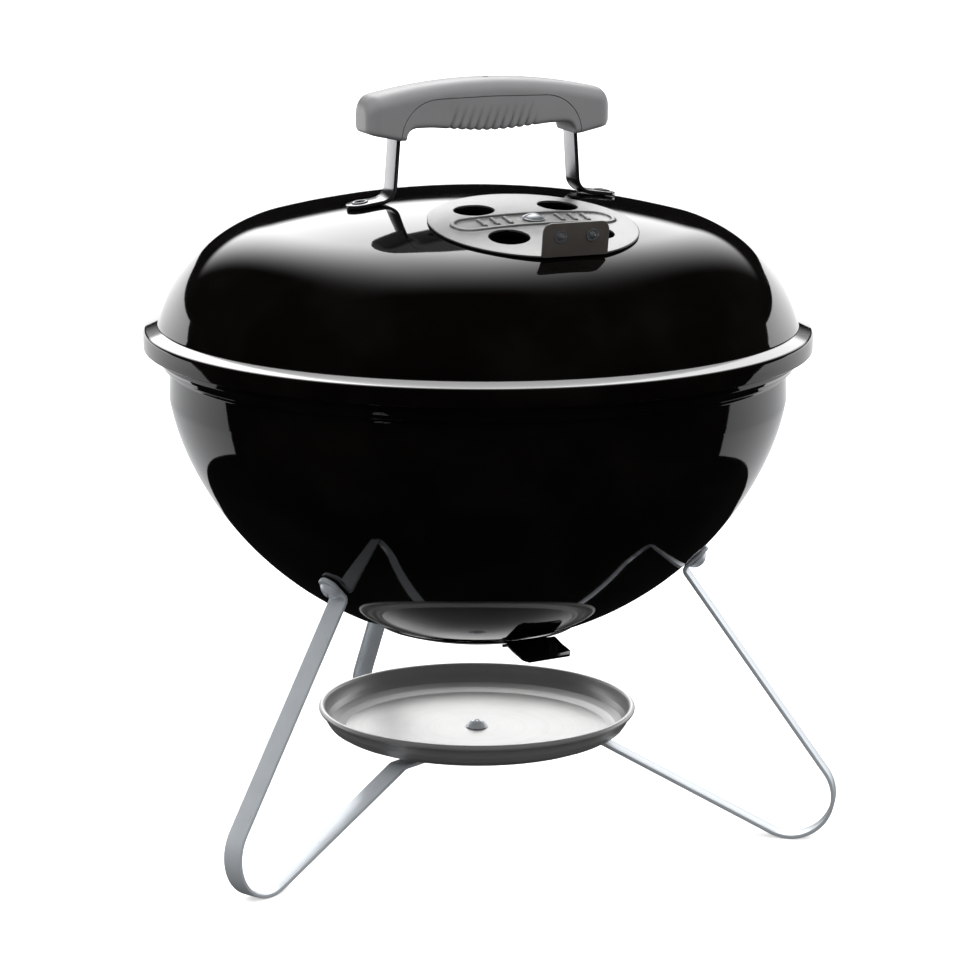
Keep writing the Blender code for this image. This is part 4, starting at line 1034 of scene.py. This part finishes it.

# Spun aluminium: rings left by the tool round the axis, over a softly uneven satin
spun = Recipe("spun_aluminium", {"Metallic": 0.8})
reach = spun.node("ShaderNodeVectorMath", {"operation": "LENGTH"}, {0: spun.stretch((1.0, 1.0, 0.0))}, "Value")
height = spun.node("ShaderNodeSeparateXYZ", {}, {0: spun.place()}, 2)
ringed = spun.node("ShaderNodeCombineXYZ", {}, {0: reach * 900, 1: height * 900, 2: 0.0})
rings = spun.noise(ringed, 1.0, 3.0)
satin = spun.noise(spun.place(), 1500, 2.0)
soft = spun.noise(spun.place(), 40, 3.0)
spun.surface(
    soft, (0.36, 0.36, 0.357), (0.45, 0.45, 0.444),
    0.26 + rings * 0.14 + satin * 0.10, rings + satin * 0.25, 0.00005,
)

pan_outside = bend(
    [
        (PAN_RADIUS - 0.0022, PAN_RIM - 2 * PAN_BEAD + 0.0002),
        (PAN_RADIUS - 0.0040, PAN_RIM - 0.0080, 0.004),
        (PAN_RADIUS - 0.0062, PAN_RIM - 0.0112, 0.002),
        (PAN_FLOOR_RADIUS + 0.0046, PAN_UNDER + 0.0018, 0.003),
        (PAN_FLOOR_RADIUS + 0.0024, PAN_UNDER + 0.0011, 0.0016),
        (PAN_FLOOR_RADIUS, PAN_UNDER, 0.0016),
        (0.040, PAN_UNDER),
        (0, PAN_UNDER),
    ],
    6,
)
pan_inside = offset(pan_outside, -PAN_SHEET)
pan_inside[-1] = (0, PAN_UNDER + PAN_SHEET)
pan_edge = arc((PAN_RADIUS - PAN_BEAD, PAN_RIM - PAN_BEAD), PAN_BEAD, math.radians(170), math.radians(-95), 14)
pan_mesh = spin(pan_edge + pan_outside + pan_inside[::-1], 192)
fit("ash_dish", pan_mesh, kettle, spun.material, "kettle", "brushed_aluminium", "ash_pan")
on_floor = Matrix.Translation((0, 0, PAN_UNDER + PAN_SHEET + 0.0002))
pan_bolt_place = kettle @ on_floor @ Matrix.Rotation(0.5, 4, "Z")
fit("ash_dish_bolt", bolt(0.0150), pan_bolt_place, zinc.material, "kettle", "plated_steel", "ash_pan_bolt")
pan_nut_place = kettle @ Matrix.Translation((0, 0, PAN_UNDER - 3 * (STRIP_SHEET + 0.0003) - 0.0003 - 0.0020))
fit("ash_dish_nut", hexagon_nut(), pan_nut_place, plated.material, "kettle", "plated_steel", "ash_pan_nut")


# Grates: round rings of plated wire with parallel rods welded across them and two cross rods beneath.
# The cooking grate lies on the bowl's ledge; the charcoal grate lies lower down on the bowl's wall.
ROD_RADIUS = 0.0017
RING_WIRE = 0.0024

# Nickel-plated wire: bright, with a little draw-line grain
wire = Recipe("plated_wire", {"Metallic": 1.0})
drawn = wire.noise(wire.stretch((4.0, 30.0, 30.0)), 40, 3.0)
wire.surface(drawn, (0.60, 0.60, 0.59), (0.72, 0.72, 0.70), 0.18 + drawn * 0.14, drawn, 0.00005)


def rod(length):
    """A round rod along X with softened ends."""
    half_rod = [(0, length / 2), (ROD_RADIUS * 0.8, length / 2), (ROD_RADIUS, length / 2 - 0.0004)]
    outline = half_rod + [(radius, -height) for radius, height in half_rod[::-1]]
    mesh = spin(outline, 16)
    mesh.transform(Matrix.Rotation(math.pi / 2, 4, "Y"))
    return mesh


def grate(radius, rods):
    """A ring with its rods, about its middle; the ring's middle is at z = 0."""
    ring = spin(arc((radius, 0), RING_WIRE, 0, -2 * math.pi, 16)[:-1], 160)
    shapes = [(ring, unmoved)]
    top = RING_WIRE + ROD_RADIUS - 0.0008
    for index in range(rods):
        across = radius * (2 * (index + 1) / (rods + 1) - 1)
        shapes.append((rod(2 * math.sqrt(radius**2 - across**2)), Matrix.Translation((0, across, top))))
    for side in (-1, 1):
        across = side * radius * 0.42
        under = Matrix.Translation((0, across, top - 2 * ROD_RADIUS + 0.0008))
        lie = Matrix.Rotation(math.pi / 2, 4, "Z") @ under
        shapes.append((rod(2 * math.sqrt(radius**2 - across**2)), lie))
    return join(*shapes)


for node, name, radius, rods in (
    ("cooking_grate", "cooking_grid", 0.1702, 15),
    ("charcoal_grate", "charcoal_grid", 0.1285, 9),
):
    low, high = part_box(node)
    lie = kettle @ Matrix.Translation((0, 0, low.z + RING_WIRE))
    fit(name, grate(radius, rods), lie, wire.material, node, "grate_steel", node)


# Studio: a pale floor, a bright card lying and standing in a curve behind the grill for its gloss to mirror,
# and a white sky. The sky's light falls from above and the sides; mirrored, it is one panel high behind.
FLOOR_REACH = 12.0
CARD_HEIGHT = 0.335
CARD_SIDE_RISE = 0.095
CARD_SIDE_REACH = 0.09
CARD_ROWS = ((0.62, 0.001, 84), (0.90, 0.001, 84), (0.90, 0.13, 82), (0.90, 0.29, 66), (0.90, CARD_HEIGHT, 60))
CARD_COLUMNS = 56
PANEL_LIGHT = 3.9
OVERHEAD_LIGHT = 2.2
HORIZON_LIGHT = 0.30
SIDE_LIGHT = 1.35
BOUNCE_LIGHT = 0.42

floor_finish = Recipe("pale_floor", {"Roughness": 0.9, "Emission Strength": 1.0})
dust = floor_finish.noise(floor_finish.place(), 3, 3.0)
spread_out = floor_finish.node(
    "ShaderNodeVectorMath", {"operation": "DISTANCE"}, {0: floor_finish.place(), 1: kettle.translation}, "Value"
)
# The floor glows more strongly under and near the kettle than further out: painted light that lifts the
# kettle's shadow on the floor.
painted_shadow_lift = floor_finish.fade(spread_out, 0.08, 0.24)
floor_finish.feed(
    floor_finish.shader,
    {
        "Base Color": floor_finish.blend(dust, (0.80, 0.80, 0.80, 1), (0.82, 0.82, 0.82, 1)),
        "Emission Color": floor_finish.blend(painted_shadow_lift, (0.66, 0.66, 0.66, 1), (0.38, 0.38, 0.38, 1)),
    },
)
floor_mesh = bpy.data.meshes.new("floor")
sides = ((-1, -1), (1, -1), (1, 1), (-1, 1))
floor_mesh.from_pydata([(x * FLOOR_REACH, y * FLOOR_REACH, -0.0002) for x, y in sides], [], [(0, 1, 2, 3)])

card_finish = Recipe("bright_card", {"Roughness": 1.0, "Emission Strength": 1.0, "Base Color": (0, 0, 0, 1)})
rise = card_finish.node("ShaderNodeSeparateXYZ", {}, {0: card_finish.place()}, 2)
up_card = card_finish.fade(rise, 0.05, 0.40)
card_glow = card_finish.blend(up_card, (0.90, 0.91, 0.92, 1), (1.95, 1.95, 1.95, 1))
card_finish.feed(card_finish.shader, {"Emission Color": card_glow})
card_points = []
for radius, level, turn in CARD_ROWS:
    for column in range(CARD_COLUMNS + 1):
        around = math.radians(turn) * (2 * column / CARD_COLUMNS - 1)
        share = min(1.0, max(0.0, (math.degrees(abs(around)) - 18) / 16))
        share = share * share * (3 - 2 * share)
        height = level + (share * CARD_SIDE_RISE if level == CARD_HEIGHT else 0)
        reach = radius - (share * CARD_SIDE_REACH if radius == CARD_ROWS[0][0] else 0)
        card_points.append((reach * math.sin(around), reach * math.cos(around), height))
across = CARD_COLUMNS + 1
corners = [row * across + column for row in range(len(CARD_ROWS) - 1) for column in range(CARD_COLUMNS)]
card_mesh = bpy.data.meshes.new("card")
card_mesh.from_pydata(card_points, [], [(i, i + 1, i + 1 + across, i + across) for i in corners])

for name, mesh, finish, place in (
    ("floor", floor_mesh, floor_finish, unmoved),
    ("card", card_mesh, card_finish, facing),
):
    mesh.materials.append(finish.material)
    prop = bpy.data.objects.new(name, mesh)
    bpy.context.scene.collection.objects.link(prop)
    prop.matrix_world = place
    prop.visible_glossy = name == "card"
    prop.visible_diffuse = False
    prop.visible_camera = name == "floor"
    prop.visible_shadow = False


class Sky(Recipe):
    """The studio's light as a world: the same node method, without a surface shader."""

    def __init__(self, name):
        self.world = bpy.data.worlds.new(name)
        self.world.use_nodes = True
        self.tree = self.world.node_tree
        self.shader = self.tree.nodes["Background"]


sky = Sky("studio")
bpy.context.scene.world = sky.world
toward = facing.to_3x3() @ Vector((0, 1, 0))
aside = facing.to_3x3() @ Vector((1, 0, 0))
ray = sky.node("ShaderNodeTexCoord", {}, {}, "Generated")
back = sky.node("ShaderNodeVectorMath", {"operation": "DOT_PRODUCT"}, {0: ray, 1: toward}, "Value")
right = sky.node("ShaderNodeVectorMath", {"operation": "DOT_PRODUCT"}, {0: ray, 1: aside}, "Value")
up = sky.node("ShaderNodeSeparateXYZ", {}, {0: ray}, 2)
elevation = sky.node("ShaderNodeMath", {"operation": "ARCSINE"}, {0: up})


def climb(low, high, start=0.0, end=1.0):
    """From start to end as the elevation goes from low to high, in degrees."""
    return sky.fade(elevation, math.radians(low), math.radians(high), start, end)


panel_up = climb(12.5, 16) * sky.fade(back, -0.04, 0.86)
panel_left = sky.fade(right, -0.54, -0.16)
panel_right = sky.fade(right, -0.04, 0.54, 1.0, 0.0)
mirrored = 0.006 + panel_up * panel_left * panel_right * PANEL_LIGHT
aside_light = sky.node("ShaderNodeMath", {"operation": "ABSOLUTE"}, {0: right})
beside = sky.fade(aside_light, 0.45, 0.85) * climb(35, 60, 1.0, 0.0)
above = climb(5, 50, HORIZON_LIGHT, OVERHEAD_LIGHT) + beside * SIDE_LIGHT
falling = BOUNCE_LIGHT + (above - BOUNCE_LIGHT) * climb(-6, 2)
glossy = sky.node("ShaderNodeLightPath", {}, {}, "Is Glossy Ray")
strength = mirrored * glossy + (1 - glossy) * falling
sky.feed(sky.shader, {"Color": (1, 1, 1, 1), "Strength": strength})
bpy.context.scene.view_settings.view_transform = "Standard"
